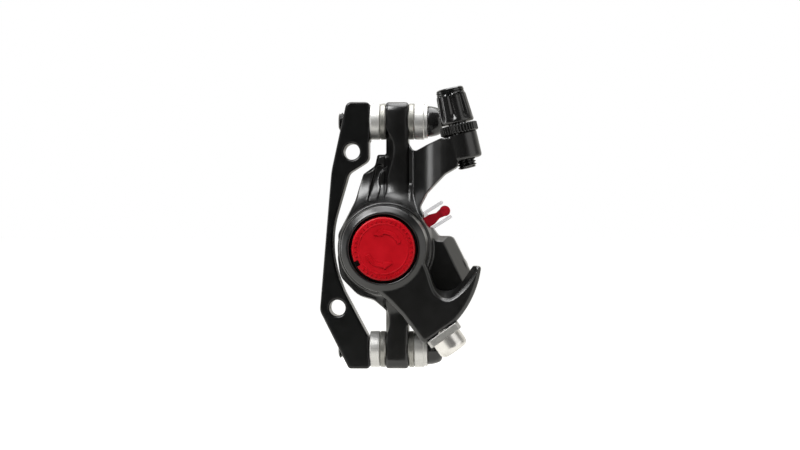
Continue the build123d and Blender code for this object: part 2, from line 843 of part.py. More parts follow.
def piston_key(clearance):
    """The tongue that stops the piston turning, and its groove in the housing."""
    shape = Pos(0, -bore_radius) * Rectangle(3.0 + 2 * clearance, 2.0 + 2 * clearance)
    return slab(shape, piston_front - 1, -slot_half + 1)


def ball_ramp(angle):
    """One sloping ball track, deepest at rest, as a chain of short steps."""
    steps = 12
    half_swing = arm_swing / 2
    track = []
    for step in range(-1, steps + 2):
        share = step / steps
        turn = math.radians(angle + half_swing * share)
        y = ball_y - arm_lift * share
        track.append(Vector(ball_circle * math.cos(turn), y, ball_circle * math.sin(turn)))
    path = Spline(*track)
    section = Plane(origin=path @ 0, z_dir=path % 0) * Circle(ball_radius + race_gap)
    return sweep(section, path=path) + Pos(*track[0]) * Sphere(ball_radius + race_gap)


def ramp_piston():
    """The keyed piston with three ball ramps and the foot screw's thread."""
    body = disc(piston_radius, piston_front, piston_back)
    body += piston_key(0) & disc(20, piston_front, piston_back)
    body -= disc(screw_radius + running, piston_front - 1, 0)
    body -= disc(shaft_radius + 1.4, piston_front - 1, piston_front + 0.6)
    for angle in ball_places():
        body -= ball_ramp(angle)
    return body


# Pad adjusters


def hex_stem(y_front, y_back, clearance=0.0):
    """The six-sided bar that turns a foot screw."""
    return slab(RegularPolygon(stem_flats / 2 + clearance, 6, major_radius=False), y_front, y_back)


def outer_knob():
    """The knob in the arm's hub with its hub and stem."""
    face = disc(knob_radius, knob_front, knob_floor)
    face = fillet(face.edges().sort_by(Axis.Y)[0], 0.6)
    hub_end = knob_floor + knob_hub_length
    knob = face + disc(knob_hub_radius, knob_floor, hub_end) + hex_stem(hub_end - 1, -stem_reach)
    knob -= wire_groove(knob_clip_y)
    notch = Rot(0, 0, knob_notch_angle) * Pos(knob_notch_out, 0) * Rectangle(knob_notch_wide, knob_notch_wide)
    return knob - slab(notch, knob_front - 1, knob_floor)


def wire_groove(y):
    """The groove of a wire ring on a knob's hub."""
    return ring(knob_hub_radius + 1, knob_hub_radius - 0.5, y - 0.4, y + 0.4)


def inner_knob():
    """The far-side knob with finger flutes."""
    start = inner_back + 0.3
    face = disc(knob_radius, start, start + inner_knob_thick)
    face = chamfer(face.edges().sort_by(Axis.Y)[-1], 0.6)
    for angle in spoked(12):
        turn = math.radians(angle)
        face -= disc(1.0, start + 1.2, start + inner_knob_thick + 1,
                     (knob_radius + 0.3) * math.cos(turn), (knob_radius + 0.3) * math.sin(turn))
    hub_end = inner_back - knob_hub_length + 0.5
    knob = face + disc(knob_hub_radius, hub_end, start) + hex_stem(stem_reach, hub_end + 1)
    return knob - wire_groove(inner_clip_y)


def outer_foot_screw():
    """The screw in the piston, its foot and the nib that holds the pad."""
    foot_back = outboard_plate_back - running
    foot_front = foot_back - foot_thick
    screw = disc(foot_radius, foot_front, foot_back) + disc(screw_radius, piston_front + 0.7, foot_front)
    screw += disc(nib_radius, foot_back, foot_back + nib_length)
    return screw - hex_stem(piston_front, foot_front, 0.1)


def inner_foot_screw():
    """The far-side screw, its foot and nib."""
    foot_front = inboard_plate_back + running
    foot_back = foot_front + foot_thick
    end = inner_back - knob_hub_length
    screw = disc(foot_radius, foot_front, foot_back) + disc(screw_radius, foot_back, end)
    screw += disc(nib_radius, foot_front - nib_length, foot_front)
    return screw - hex_stem(foot_back, end + 1, 0.1)


# Pads


def pad_shape(inset):
    """The rounded outline of a pad."""
    length = pad_outer_end - pad_inner_end - 2 * inset
    middle = (pad_outer_end + pad_inner_end) / 2
    return Pos(middle, 0) * RectangleRounded(length, 2 * (pad_half_width - inset), pad_corner - inset)


def backplate(y_front, y_back):
    """A pad's steel plate with its pull tab and nib hole."""
    tab = Pos(pad_inner_end - 1.5, 0) * RectangleRounded(7.0, 6.0, 1.2)
    return out_slab(pad_shape(0) + tab, y_front, y_back) - disc(nib_radius + 0.3, y_front - 1, y_back + 1)


def outboard_backplate():
    return backplate(outboard_plate_back, outboard_face - lining_thick)


def inboard_backplate():
    return backplate(inboard_face + lining_thick, inboard_plate_back)


def lining(y_front, y_back, groove_front, groove_back):
    """Friction material with a dust groove."""
    block = out_slab(pad_shape(1.5), y_front, y_back)
    return block - out_slab(Rectangle(40, 1.2), groove_front, groove_back)


def outboard_lining():
    return lining(outboard_face - lining_thick, outboard_face, outboard_face - 1.0, outboard_face + 1)


def inboard_lining():
    return lining(inboard_face, inboard_face + lining_thick, inboard_face - 1, inboard_face + 1.0)


def pad_spreader():
    """The thin spring between the pads: two legs on each side and a cross strip."""
    leg_face = slot_half - 0.1
    leg_in = pad_half_width - 1.2
    edge = pad_outer_end + spring_out
    leg_mid = (leg_in + pad_half_width) / 2
    leg_wide = pad_half_width - leg_in
    spring = None
    for y_front, y_back in ((-leg_face, spring_thick - leg_face), (leg_face - spring_thick, leg_face)):
        for side in (leg_mid, -leg_mid):
            leg = Pos((edge - 6) / 2, side) * Rectangle(edge + 6, leg_wide)
            piece = out_slab(leg, y_front, y_back)
            spring = piece if spring is None else spring + piece
    for side in (leg_mid, -leg_mid):
        post = Pos(edge - spring_thick / 2, side) * Rectangle(spring_thick, leg_wide)
        spring += out_slab(post, -leg_face, leg_face)
    strip = Pos(edge - 0.6, 0) * Rectangle(1.2, 2 * pad_half_width)
    return spring + out_slab(strip, leg_face - spring_thick, leg_face)


# Cable entry


def barrel():
    """The hollow adjusting screw with its flanged top."""
    body = barrel_bar(barrel_thread_radius, barrel_tip, grip_bottom)
    body += barrel_bar(barrel_tube_radius, grip_bottom, grip_top)
    rim = barrel_bar(barrel_rim_radius, grip_top, barrel_top)
    axis = Axis((0, 0, 0), (-across_z, 0, across_x))
    body += fillet(rim.edges().sort_by(axis)[-1], 0.6)
    body -= barrel_bar(cable_hole, barrel_tip - 1, barrel_top + 1)
    body -= barrel_bar(socket_radius, barrel_top - socket_depth, barrel_top + 1)
    body -= barrel_bar(seat_radius, barrel_top - socket_depth - seat_thick - running, barrel_top)
    return body


def barrel_grip():
    """The ribbed sleeve on the barrel."""
    low = barrel_plane(grip_bottom) * Circle(grip_low_radius)
    high = barrel_plane(grip_top) * Circle(grip_high_radius)
    body = loft([low.faces()[0], high.faces()[0]])
    for angle in spoked(grip_flutes):
        low_place = Rot(0, 0, angle) * Pos(grip_low_radius + 0.4 * grip_low_cut, 0)
        high_place = Rot(0, 0, angle) * Pos(grip_high_radius + 0.4 * grip_high_cut, 0)
        low_cut = barrel_plane(grip_bottom + 1.2) * low_place * Circle(grip_low_cut)
        high_cut = barrel_plane(grip_top + 0.1) * high_place * Circle(grip_high_cut)
        body -= loft([low_cut.faces()[0], high_cut.faces()[0]])
    return body - barrel_bar(barrel_tube_radius, grip_bottom - 1, grip_top + 1)


def lock_ring():
    """The toothed ring that locks the barrel against the boss."""
    high = boss_top + lock_thick
    body = barrel_bar(lock_radius, boss_top + running, high)
    for angle in spoked(lock_teeth):
        cut = Rot(0, 0, angle) * Pos(lock_radius + 0.15, 0) * Circle(0.5)
        body -= extrude(barrel_plane(boss_top + 0.8) * cut, lock_thick)
    return body - barrel_bar(barrel_thread_radius + running, boss_top - 1, high + 1)


def housing_seat():
    """The end piece below the barrel's socket that the cable housing rests on."""
    low = barrel_top - socket_depth - seat_thick
    return barrel_bar(seat_radius - running, low, low + seat_thick) - barrel_bar(
        cable_hole, low - 1, low + seat_thick + 1)


# Transit spacer


def spacer_fork():
    """The clear fork whose tongue keeps the pads apart."""
    low = prong_low - prong_wide / 2
    high = prong_high + prong_wide / 2
    tongue = Pos((spacer_root + tongue_end) / 2, (low + high) / 2) * RectangleRounded(
        tongue_end - spacer_root, high - low, 0.5)
    shape = tongue
    for side in (prong_low, prong_high):
        shape += Pos((prong_end + 15.0) / 2, side) * RectangleRounded(prong_end - 15.0, prong_wide, 0.5)
    shape -= Pos(15.4, 0.45) * Rectangle(4.0, 3.9)
    return out_slab(shape, -spacer_half, spacer_half)


def spacer_grip():
    """The handle of the spacer with its round end."""
    low = 13.4 + running
    stem = make_face(Polyline(
        (low, -1.4), (17.2, -1.3), (19.4, -0.6), (21.3, -0.9), (21.0, 1.9), (19.4, 1.55), (17.0, 2.3),
        (low, 2.3), close=True))
    body = out_slab(Sketch() + stem, -1.2, 1.2)
    x, z = out_point(grip_ball_out, 0.55)
    return body + disc(grip_ball_radius, -1.4, 1.4, x, z)


nodes = {
    "mount_bracket": mount_bracket,
    "mount_bolts": lambda: at_posts(mount_bolt),
    "inner_cup_washers": inner_cup_washers,
    "inner_cone_washers": inner_cone_washers,
    "outer_cone_washers": outer_cone_washers,
    "outer_cup_washers": outer_cup_washers,
    "flange_washers": lambda: at_posts(flange_washer),
    "outboard_body": outboard_body,
    "inboard_body": inboard_body,
    "body_bolts": body_bolts,
    "torque_arm": torque_arm,
    "cable_clamp_washer": clamp_washer,
    "cable_clamp_bolt": clamp_bolt,
    "hub_bushing": hub_bushing,
    "thrust_washer": thrust_washer,
    "hub_seal": hub_seal,
    "return_spring": return_spring,
    "ramp_ring": ramp_ring,
    "arm_retaining_ring": arm_retaining_ring,
    "ramp_balls": ramp_balls,
    "ball_cage": ball_cage,
    "ramp_piston": ramp_piston,
    "outer_knob": outer_knob,
    "outer_knob_clip": lambda: wire_clip(knob_clip_y),
    "outer_foot_screw": outer_foot_screw,
    "inner_knob": inner_knob,
    "inner_knob_clip": lambda: wire_clip(inner_clip_y),
    "inner_foot_screw": inner_foot_screw,
    "outboard_backplate": outboard_backplate,
    "outboard_lining": outboard_lining,
    "inboard_backplate": inboard_backplate,
    "inboard_lining": inboard_lining,
    "pad_spreader": pad_spreader,
    "barrel": barrel,
    "barrel_grip": barrel_grip,
    "lock_ring": lock_ring,
    "housing_seat": housing_seat,
    "spacer_fork": spacer_fork,
    "spacer_grip": spacer_grip,
}

os.makedirs("parts", exist_ok=True)
for name, maker in nodes.items():
    print("making", name)
    export_step(maker(), os.path.join("parts", name + ".step"))
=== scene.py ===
import json
import logging
import math
from abc import ABC, abstractmethod
from dataclasses import dataclass, field
from enum import Enum
from functools import cache
from typing import Callable, Sequence

import bmesh
import bpy
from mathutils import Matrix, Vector


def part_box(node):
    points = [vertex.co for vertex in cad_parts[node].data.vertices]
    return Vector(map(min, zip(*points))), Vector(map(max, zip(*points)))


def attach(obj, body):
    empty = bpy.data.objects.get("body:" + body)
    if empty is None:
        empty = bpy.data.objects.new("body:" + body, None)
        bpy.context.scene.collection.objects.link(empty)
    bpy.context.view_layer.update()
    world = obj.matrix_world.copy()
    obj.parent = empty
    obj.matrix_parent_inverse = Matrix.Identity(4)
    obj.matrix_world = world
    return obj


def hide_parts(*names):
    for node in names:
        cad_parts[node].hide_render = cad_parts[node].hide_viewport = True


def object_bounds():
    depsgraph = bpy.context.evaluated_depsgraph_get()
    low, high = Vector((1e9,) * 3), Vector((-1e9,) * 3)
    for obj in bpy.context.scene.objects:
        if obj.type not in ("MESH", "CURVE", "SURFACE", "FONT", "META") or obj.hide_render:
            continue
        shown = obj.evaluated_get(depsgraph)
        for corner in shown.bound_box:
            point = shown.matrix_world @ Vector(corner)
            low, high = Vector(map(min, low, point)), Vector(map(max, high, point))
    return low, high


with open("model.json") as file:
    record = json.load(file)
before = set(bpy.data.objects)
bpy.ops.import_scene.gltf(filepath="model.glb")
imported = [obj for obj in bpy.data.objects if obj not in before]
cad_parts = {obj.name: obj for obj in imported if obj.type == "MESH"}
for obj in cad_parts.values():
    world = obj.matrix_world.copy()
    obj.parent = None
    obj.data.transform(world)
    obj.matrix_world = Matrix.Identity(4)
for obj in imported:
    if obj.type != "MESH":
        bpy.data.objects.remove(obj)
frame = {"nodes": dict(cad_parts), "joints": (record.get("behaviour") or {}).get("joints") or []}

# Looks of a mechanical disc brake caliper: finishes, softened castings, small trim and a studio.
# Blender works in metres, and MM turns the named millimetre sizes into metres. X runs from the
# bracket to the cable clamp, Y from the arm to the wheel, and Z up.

CAD_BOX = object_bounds()
LOG = logging.getLogger("caliper")

MM = 0.001
FULL_TURN = 2 * math.pi
SHARP_EDGE = math.radians(38)
DOUBLED = 1e-7

Colour = tuple[float, float, float]
Point = tuple[float, float, float]
Outline = list[tuple[float, float]]
Ring = list[Vector]
RadiusAt = Callable[[float], float]
Socket = bpy.types.NodeSocket
Feed = Socket | float | Sequence[float]

WHITE = (1.0, 1.0, 1.0)


def grey(level: float) -> Colour:
    """Gives a grey with no tint."""
    return (level, level, level)


def angles(count: int) -> list[float]:
    """Divides a full turn evenly."""
    return [FULL_TURN * index / count for index in range(count)]


def ramp(value: float, start: float, run: float) -> float:
    """Rises from 0 to 1 over a run, and stays level before and after it."""
    return min(1.0, max(0.0, (value - start) / run))


class Grain(Enum):
    """How coarse a surface's pattern is, as cells per metre."""

    FINE = 9000.0
    MEDIUM = 4200.0
    COARSE = 1800.0
    TURNING = 1500.0
    WAVE = 880.0
    HAZE = 660.0
    CLOUD = 220.0
    SPECK = 40.0


class Canvas(Enum):
    """What shader nodes paint: the output node's kind, and the coordinate that patterns follow."""

    SURFACE = ("ShaderNodeOutputMaterial", "Object")
    ROOM = ("ShaderNodeOutputWorld", "Generated")


class Nodes:
    """A short way to lay out the shader nodes of one material or of the world."""

    def __init__(self, owner: bpy.types.Material | bpy.types.World, canvas: Canvas) -> None:
        """Clears the owner's nodes, and adds its output and its coordinates.

        Args:
            owner: The material or world.
            canvas: What it paints.
        """
        output, place = canvas.value
        owner.use_nodes = True
        self.tree = owner.node_tree
        self.tree.nodes.clear()
        self.output = self.add(output)
        self.place = self.add("ShaderNodeTexCoord").outputs[place]

    def add(self, kind: str, feeds: dict[str | int, Feed] | None = None,
            **settings: object) -> bpy.types.Node:
        """Adds a node.

        Args:
            kind: The node's Blender type.
            feeds: What goes into its sockets, by name or number: another node's socket or a value.
            **settings: Properties to set on it.

        Returns:
            The new node.
        """
        node = self.tree.nodes.new(kind)
        for name, value in settings.items():
            setattr(node, name, value)
        for key, feed in (feeds or {}).items():
            if isinstance(feed, Socket):
                self.tree.links.new(feed, node.inputs[key])
            else:
                node.inputs[key].default_value = feed
        return node

    def show(self, shader: Socket) -> None:
        """Leads a shader to the output."""
        self.tree.links.new(shader, self.output.inputs["Surface"])

    def noise(self, grain: Grain, detail: float, seed: float = 0.0) -> Socket:
        """Adds even noise over the surface.

        Args:
            grain: How coarse it is.
            detail: Octaves of finer noise.
            seed: Shift of the pattern, so that two finishes differ.

        Returns:
            The noise's value socket.
        """
        return self.add("ShaderNodeTexNoise", {
            "Scale": grain.value, "Detail": detail, "W": seed, "Vector": self.place,
        }, noise_dimensions="4D").outputs["Fac"]

    def spread(self, value: Socket, low: float, high: float, start: float = 0.3,
               stop: float = 0.7, **settings: object) -> Socket:
        """Maps a value to a range.

        Args:
            value: The socket to map.
            low: Result at the start.
            high: Result at the stop.
            start: Value that gives low.
            stop: Value that gives high.
            **settings: Further properties of the mapping node.

        Returns:
            The mapped socket.
        """
        return self.add("ShaderNodeMapRange", {
            "From Min": start, "From Max": stop, "To Min": low, "To Max": high, "Value": value,
        }, clamp=True, **settings).outputs["Result"]

    def tint(self, value: Socket, dark: Colour, light: Colour, start: float = 0.3,
             stop: float = 0.7) -> Socket:
        """Turns a value into a colour between two.

        Args:
            value: The socket that chooses.
            dark: The colour at the start.
            light: The colour at the stop.
            start: Value that gives the dark colour.
            stop: Value that gives the light colour.

        Returns:
            The colour socket.
        """
        node = self.add("ShaderNodeValToRGB", {"Fac": value})
        for point, place, colour in zip(node.color_ramp.elements, (start, stop), (dark, light)):
            point.position = place
            point.color = (*colour, 1.0)
        return node.outputs["Color"]

    def relief(self, height: Socket, depth: float) -> Socket:
        """Adds fine relief.

        Args:
            height: The relief's height, 0 to 1.
            depth: The relief's full depth in metres.

        Returns:
            The normal socket.
        """
        return self.add("ShaderNodeBump", {
            "Strength": 1.0, "Distance": depth, "Height": height}).outputs["Normal"]

    def surface(self, colour: Socket, roughness: Socket, normal: Socket, **even: float) -> None:
        """Adds the main shader and shows it.

        Args:
            colour: Socket of the base colour.
            roughness: Socket of the roughness.
            normal: Socket of the normal.
            **even: Values that are the same all over, by socket name with _ for a space.
        """
        feeds = {name.replace("_", " "): value for name, value in even.items()}
        shader = self.add("ShaderNodeBsdfPrincipled", {
            "Base Color": colour, "Roughness": roughness, "Normal": normal, **feeds})
        self.show(shader.outputs["BSDF"])

    def mixed(self, share: Socket, first: Socket, second: Socket) -> Socket:
        """Mixes two shaders: the first where the share is 0, the second where it is 1."""
        return self.add("ShaderNodeMixShader", {
            "Fac": share, 1: first, 2: second}).outputs["Shader"]

    def in_view(self, rays: bpy.types.Node) -> Socket:
        """Gives 1 for what is seen straight or through clear plastic, and 0 for its light.

        Args:
            rays: The light path node.

        Returns:
            The value socket.
        """
        return self.add("ShaderNodeMath", {
            0: rays.outputs["Is Camera Ray"], 1: rays.outputs["Is Transmission Ray"],
        }, operation="MAXIMUM").outputs["Value"]


@dataclass(frozen=True)
class Finish(ABC):
    """One finish of the object; the subclasses say how it is laid out."""

    name: str

    @cache
    def material(self) -> bpy.types.Material:
        """Gives the finish's material, made on first use.

        Returns:
            The material.
        """
        material = bpy.data.materials.new(self.name)
        self.lay(Nodes(material, Canvas.SURFACE))
        return material

    @abstractmethod
    def lay(self, nodes: Nodes) -> None:
        """Lays the finish out.

        Args:
            nodes: The material's empty nodes.
        """


@dataclass(frozen=True)
class Coating(Finish):
    """Paint, anodising or black oxide over metal: an even colour with faint orange peel."""

    dark: Colour = grey(0.0014)
    light: Colour = grey(0.0026)
    smooth: float = 0.28
    rough: float = 0.34
    depth: float = 0.004 * MM
    shine: float = 0.4
    metal: float = 0.0

    def lay(self, nodes: Nodes) -> None:
        """Lays out the coat.

        Args:
            nodes: The material's empty nodes.
        """
        cloud = nodes.noise(Grain.CLOUD, detail=4.0)
        peel = nodes.noise(Grain.MEDIUM, detail=2.0, seed=3.0)
        nodes.surface(nodes.tint(cloud, self.dark, self.light),
                      nodes.spread(cloud, self.smooth, self.rough),
                      nodes.relief(peel, self.depth),
                      Metallic=self.metal, Specular_IOR_Level=self.shine)


@dataclass(frozen=True)
class BlastedMetal(Finish):
    """Bead blasted steel with a speckled, grainy face."""

    dark: Colour = (0.5, 0.495, 0.48)
    light: Colour = (0.66, 0.655, 0.64)
    smooth: float = 0.36
    rough: float = 0.48
    depth: float = 0.008 * MM
    metal: float = 0.72

    def lay(self, nodes: Nodes) -> None:
        """Lays out the blasted face.

        Args:
            nodes: The material's empty nodes.
        """
        speckle = nodes.noise(Grain.MEDIUM, detail=3.0, seed=1.0)
        pits = nodes.noise(Grain.FINE, detail=2.0, seed=5.0)
        nodes.surface(nodes.tint(speckle, self.dark, self.light),
                      nodes.spread(pits, self.smooth, self.rough),
                      nodes.relief(pits, self.depth), Metallic=self.metal)


@dataclass(frozen=True)
class TurnedMetal(Finish):
    """Machined metal with fine turning marks round the wheel's axle."""

    dark: Colour = grey(0.5)
    light: Colour = (0.68, 0.68, 0.67)
    smooth: float = 0.24
    uneven: float = 0.1
    depth: float = 0.006 * MM

    def lay(self, nodes: Nodes) -> None:
        """Lays out the turned face.

        Args:
            nodes: The material's empty nodes.
        """
        marks = nodes.add("ShaderNodeTexWave", {
            "Scale": Grain.TURNING.value, "Distortion": 1.5, "Detail": 2.0, "Vector": nodes.place,
        }, wave_type="RINGS", rings_direction="Y").outputs["Fac"]
        haze = nodes.noise(Grain.HAZE, detail=3.0, seed=2.0)
        nodes.surface(nodes.tint(haze, self.dark, self.light),
                      nodes.spread(haze, self.smooth, self.smooth + self.uneven),
                      nodes.relief(marks, self.depth), Metallic=1.0)


@dataclass(frozen=True)
class Moulding(Finish):
    """Moulded plastic: an even colour, slightly mottled, with a fine mould texture."""

    dark: Colour
    light: Colour
    smooth: float
    rough: float
    grain: Grain = Grain.FINE
    depth: float = 0.002 * MM
    shine: float = 0.5

    def lay(self, nodes: Nodes) -> None:
        """Lays out the moulding.

        Args:
            nodes: The material's empty nodes.
        """
        cloud = nodes.noise(Grain.CLOUD, detail=3.0, seed=7.0)
        texture = nodes.noise(self.grain, detail=2.0, seed=9.0)
        nodes.surface(nodes.tint(cloud, self.dark, self.light),
                      nodes.spread(cloud, self.smooth, self.rough),
                      nodes.relief(texture, self.depth), Specular_IOR_Level=self.shine)


@dataclass(frozen=True)
class ClearPlastic(Finish):
    """Clear moulded plastic with a faint violet body and slightly wavy faces."""

    dark: Colour = (0.72, 0.715, 0.73)
    light: Colour = (0.82, 0.815, 0.825)
    smooth: float = 0.04
    rough: float = 0.1
    depth: float = 0.01 * MM
    clear: float = 0.8
    bend: float = 1.3

    def lay(self, nodes: Nodes) -> None:
        """Lays out the clear body.

        Args:
            nodes: The material's empty nodes.
        """
        wave = nodes.noise(Grain.WAVE, detail=2.0, seed=4.0)
        cloud = nodes.noise(Grain.CLOUD, detail=2.0, seed=6.0)
        nodes.surface(nodes.tint(cloud, self.dark, self.light),
                      nodes.spread(wave, self.smooth, self.rough),
                      nodes.relief(wave, self.depth),
                      Transmission_Weight=self.clear, IOR=self.bend)


@dataclass(frozen=True)
class FrictionBlock(Finish):
    """Sintered friction material: brown and grey with metal flecks.

    A cell is fleck up to one distance from its middle, and bed from another on.
    """

    light: Colour = (0.42, 0.3, 0.2)
    dark: Colour = (0.07, 0.06, 0.052)
    smooth: float = 0.45
    rough: float = 0.85
    fleck: float = 0.05
    bed: float = 0.35
    rough_bed: float = 0.4
    depth: float = 0.06 * MM

    def lay(self, nodes: Nodes) -> None:
        """Lays out the sintered face.

        Args:
            nodes: The material's empty nodes.
        """
        cells = nodes.add("ShaderNodeTexVoronoi", {
            "Scale": Grain.COARSE.value, "Vector": nodes.place}).outputs["Distance"]
        lumps = nodes.noise(Grain.COARSE, detail=4.0)
        nodes.surface(nodes.tint(cells, self.light, self.dark, self.fleck, self.bed),
                      nodes.spread(cells, self.smooth, self.rough, self.fleck, self.rough_bed),
                      nodes.relief(lumps, self.depth))


CAST_BLACK = Coating("cast_black", shine=0.62)
BRACKET_BLACK = Coating("bracket_black", (0.0012, 0.0014, 0.0014), (0.0025, 0.0028, 0.0028))
OXIDE_BLACK = Coating("oxide_black", grey(0.006), grey(0.014), smooth=0.16, rough=0.24,
                      shine=0.6, metal=0.2)
BLASTED = BlastedMetal("blasted_steel")
# The cone washers' steel and the pressure plate's steel are the blasted steel made darker: painted
# shade, for parts that sit in shade low on the caliper.
CONE_METAL_PAINTED_SHADE = BlastedMetal("cone_metal_painted_shade", (0.24, 0.235, 0.215), (0.33, 0.325, 0.3),
                          smooth=0.32, rough=0.42)
PLATE_STEEL_PAINTED_SHADE = BlastedMetal("pressure_plate", (0.34, 0.335, 0.32), (0.48, 0.475, 0.46),
                              smooth=0.34, rough=0.44)
BOLT_STEEL = BlastedMetal("bolt_steel", (0.62, 0.605, 0.58), (0.7, 0.685, 0.66),
                          smooth=0.26, rough=0.32, depth=0.0003 * MM, metal=0.9)
TURNED = TurnedMetal("turned_steel")
SPRING_WIRE = TurnedMetal("spring_wire", (0.3, 0.3, 0.31), grey(0.45), smooth=0.3)
BRASS = TurnedMetal("turned_brass", (0.5, 0.34, 0.12), (0.66, 0.47, 0.2), smooth=0.28)
KNOB_RED = Moulding("knob_red", (0.34, 0.001, 0.005), (0.43, 0.002, 0.008), smooth=0.34,
                    rough=0.42, grain=Grain.MEDIUM, depth=0.004 * MM, shine=0.22)
# The tab's red is painted light: it is raised far above the knob's red to make up for the shade
# that the arm casts on the tab.
TAB_RED_PAINTED_LIGHT = Moulding("tab_red_painted_light", (0.74, 0.01, 0.03), (0.84, 0.014, 0.04), smooth=0.36,
                   rough=0.46, grain=Grain.MEDIUM, depth=0.004 * MM, shine=0.35)
BARREL_BLACK = Moulding("barrel_black", grey(0.003), grey(0.005), smooth=0.2, rough=0.26,
                        depth=0.0004 * MM, shine=0.6)
BUSHING = Moulding("bushing_plastic", (0.5, 0.46, 0.36), (0.62, 0.58, 0.47), smooth=0.45,
                   rough=0.6)
RUBBER = Moulding("seal_rubber", grey(0.01), grey(0.02), smooth=0.6, rough=0.75,
                  grain=Grain.MEDIUM, depth=0.01 * MM, shine=0.3)
CLEAR = ClearPlastic("clear_plastic")
FRICTION = FrictionBlock("friction_material")


@dataclass(frozen=True)
class Axle:
    """A line that turned pieces are built round, with a side square to it where angle 0 is."""

    start: Vector
    along: Vector
    side: Vector

    def at(self, station: float, radius: float, angle: float) -> Vector:
        """Gives a point by its place round the line.

        Args:
            station: Place along the line, in metres.
            radius: Distance from the line.
            angle: Angle round it.

        Returns:
            The point.
        """
        across = self.along.cross(self.side)
        return self.start + self.along * station + (
            self.side * math.cos(angle) + across * math.sin(angle)) * radius

    def ring(self, station: float, radius: RadiusAt | float, count: int) -> Ring:
        """Gives the points of one ring round the line.

        Args:
            station: Place along the line, in metres.
            radius: The ring's radius, or how it goes with the angle.
            count: Number of points.

        Returns:
            The ring's points.
        """
        return [self.at(station, radius(angle) if callable(radius) else radius, angle)
                for angle in angles(count)]

    def rings(self, shape: Sequence[tuple[float, RadiusAt | float]], count: int) -> list[Ring]:
        """Gives rings for a list of stations with their radii."""
        return [self.ring(station, radius, count) for station, radius in shape]


def six_sided(half_flats: float) -> RadiusAt:
    """Gives the outline of a hexagon by angle."""
    third = math.pi / 3
    return lambda angle: half_flats / math.cos((angle + third / 2) % third - third / 2)


@dataclass(frozen=True)
class Thread:
    """A screw thread's sizes, with the rings that a turn takes and the form of its flanks."""

    crest: float
    root: float
    pitch: float
    steps: int = 10
    steep: float = 1.5
    land: float = 0.2

    def rings(self, axle: Axle, low: float, high: float, count: int, fade: float) -> list[Ring]:
        """Lays rings whose radius winds as a thread does.

        Args:
            axle: The screw's line.
            low: Where the thread starts.
            high: Where it ends.
            count: Points of each ring.
            fade: Length over which the thread runs out at its upper end.

        Returns:
            The rings from low to high.
        """
        steps = max(2, round((high - low) / self.pitch * self.steps))
        rings = []
        for step in range(steps + 1):
            station = low + (high - low) * step / steps
            left = min(1.0, (high - station) / fade)

            def winding(angle: float, station: float = station, left: float = left) -> float:
                """Gives the thread's radius at one angle of this ring."""
                phase = (station / self.pitch - angle / FULL_TURN) % 1.0
                flank = min(1.0, max(0.0, abs(2 * phase - 1) * self.steep - self.land))
                return self.crest - (self.crest - self.root) * (1 - flank) * left

            rings.append(axle.ring(station, winding, count))
        return rings


def finished_mesh(name: str, work: bmesh.types.BMesh) -> bpy.types.Mesh:
    """Turns worked faces into a mesh that is smooth but for its sharp edges.

    Args:
        name: The mesh's name.
        work: The faces, which are used up.

    Returns:
        The mesh.
    """
    mesh = bpy.data.meshes.new(name)
    work.to_mesh(mesh)
    work.free()
    mesh.shade_smooth()
    mesh.set_sharp_from_angle(angle=SHARP_EDGE)
    return mesh


def skin(name: str, rings: Sequence[Ring], looped: bool = False) -> bpy.types.Mesh:
    """Skins rings of equal length into one closed mesh.

    Args:
        name: The mesh's name.
        rings: The rings in order.
        looped: True where the last ring joins the first, False where both ends are capped.

    Returns:
        The mesh.
    """
    work = bmesh.new()
    rows = [[work.verts.new(point) for point in ring] for ring in rings]
    pairs = list(zip(rows, rows[1:])) + ([(rows[-1], rows[0])] if looped else [])
    for low, high in pairs:
        for index, corner in enumerate(low):
            after = (index + 1) % len(low)
            work.faces.new((corner, low[after], high[after], high[index]))
    if not looped:
        work.faces.new(list(reversed(rows[0])))
        work.faces.new(rows[-1])
    bmesh.ops.recalc_face_normals(work, faces=work.faces)
    return finished_mesh(name, work)


def joined(name: str, meshes: Sequence[bpy.types.Mesh]) -> bpy.types.Mesh:
    """Puts several closed meshes into one.

    Args:
        name: The new mesh's name.
        meshes: The meshes to join, which are used up.

    Returns:
        The joined mesh.
    """
    work = bmesh.new()
    for mesh in meshes:
        work.from_mesh(mesh)
        bpy.data.meshes.remove(mesh)
    return finished_mesh(name, work)


def placed(name: str, data: bpy.types.ID) -> bpy.types.Object:
    """Puts a mesh, lamp or camera in the scene.

    Args:
        name: The new object's name.
        data: What it holds.

    Returns:
        The new object.
    """
    thing = bpy.data.objects.new(name, data)
    bpy.context.scene.collection.objects.link(thing)
    return thing


def dress(piece: bpy.types.Object, finish: Finish) -> None:
    """Gives a piece one finish on all its faces.

    Args:
        piece: The mesh object.
        finish: The finish to use.
    """
    if not piece.material_slots:
        piece.data.materials.append(finish.material())
    for slot in piece.material_slots:
        slot.material = finish.material()
    LOG.info("%s wears %s", piece.name, finish.name)


def dress_nodes(finish: Finish, *nodes: str) -> None:
    """Gives CAD nodes a finish.

    Args:
        finish: The finish to use.
        *nodes: The nodes' names.
    """
    for node in nodes:
        dress(frame["nodes"][node], finish)


def stand_in(name: str, mesh: bpy.types.Mesh, body: str, slot: str, finish: Finish,
             *nodes: str) -> None:
    """Adds a dressed piece that moves with a body and takes the place of CAD nodes.

    Args:
        name: The piece's name.
        mesh: Its mesh, in the CAD's frame.
        body: The CAD body that it moves with.
        slot: The record's material slot; not used.
        finish: Its finish.
        *nodes: The CAD nodes that it replaces, if any.
    """
    piece = placed(name, mesh)
    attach(piece, body)
    if nodes:
        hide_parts(*nodes)
    dress(piece, finish)


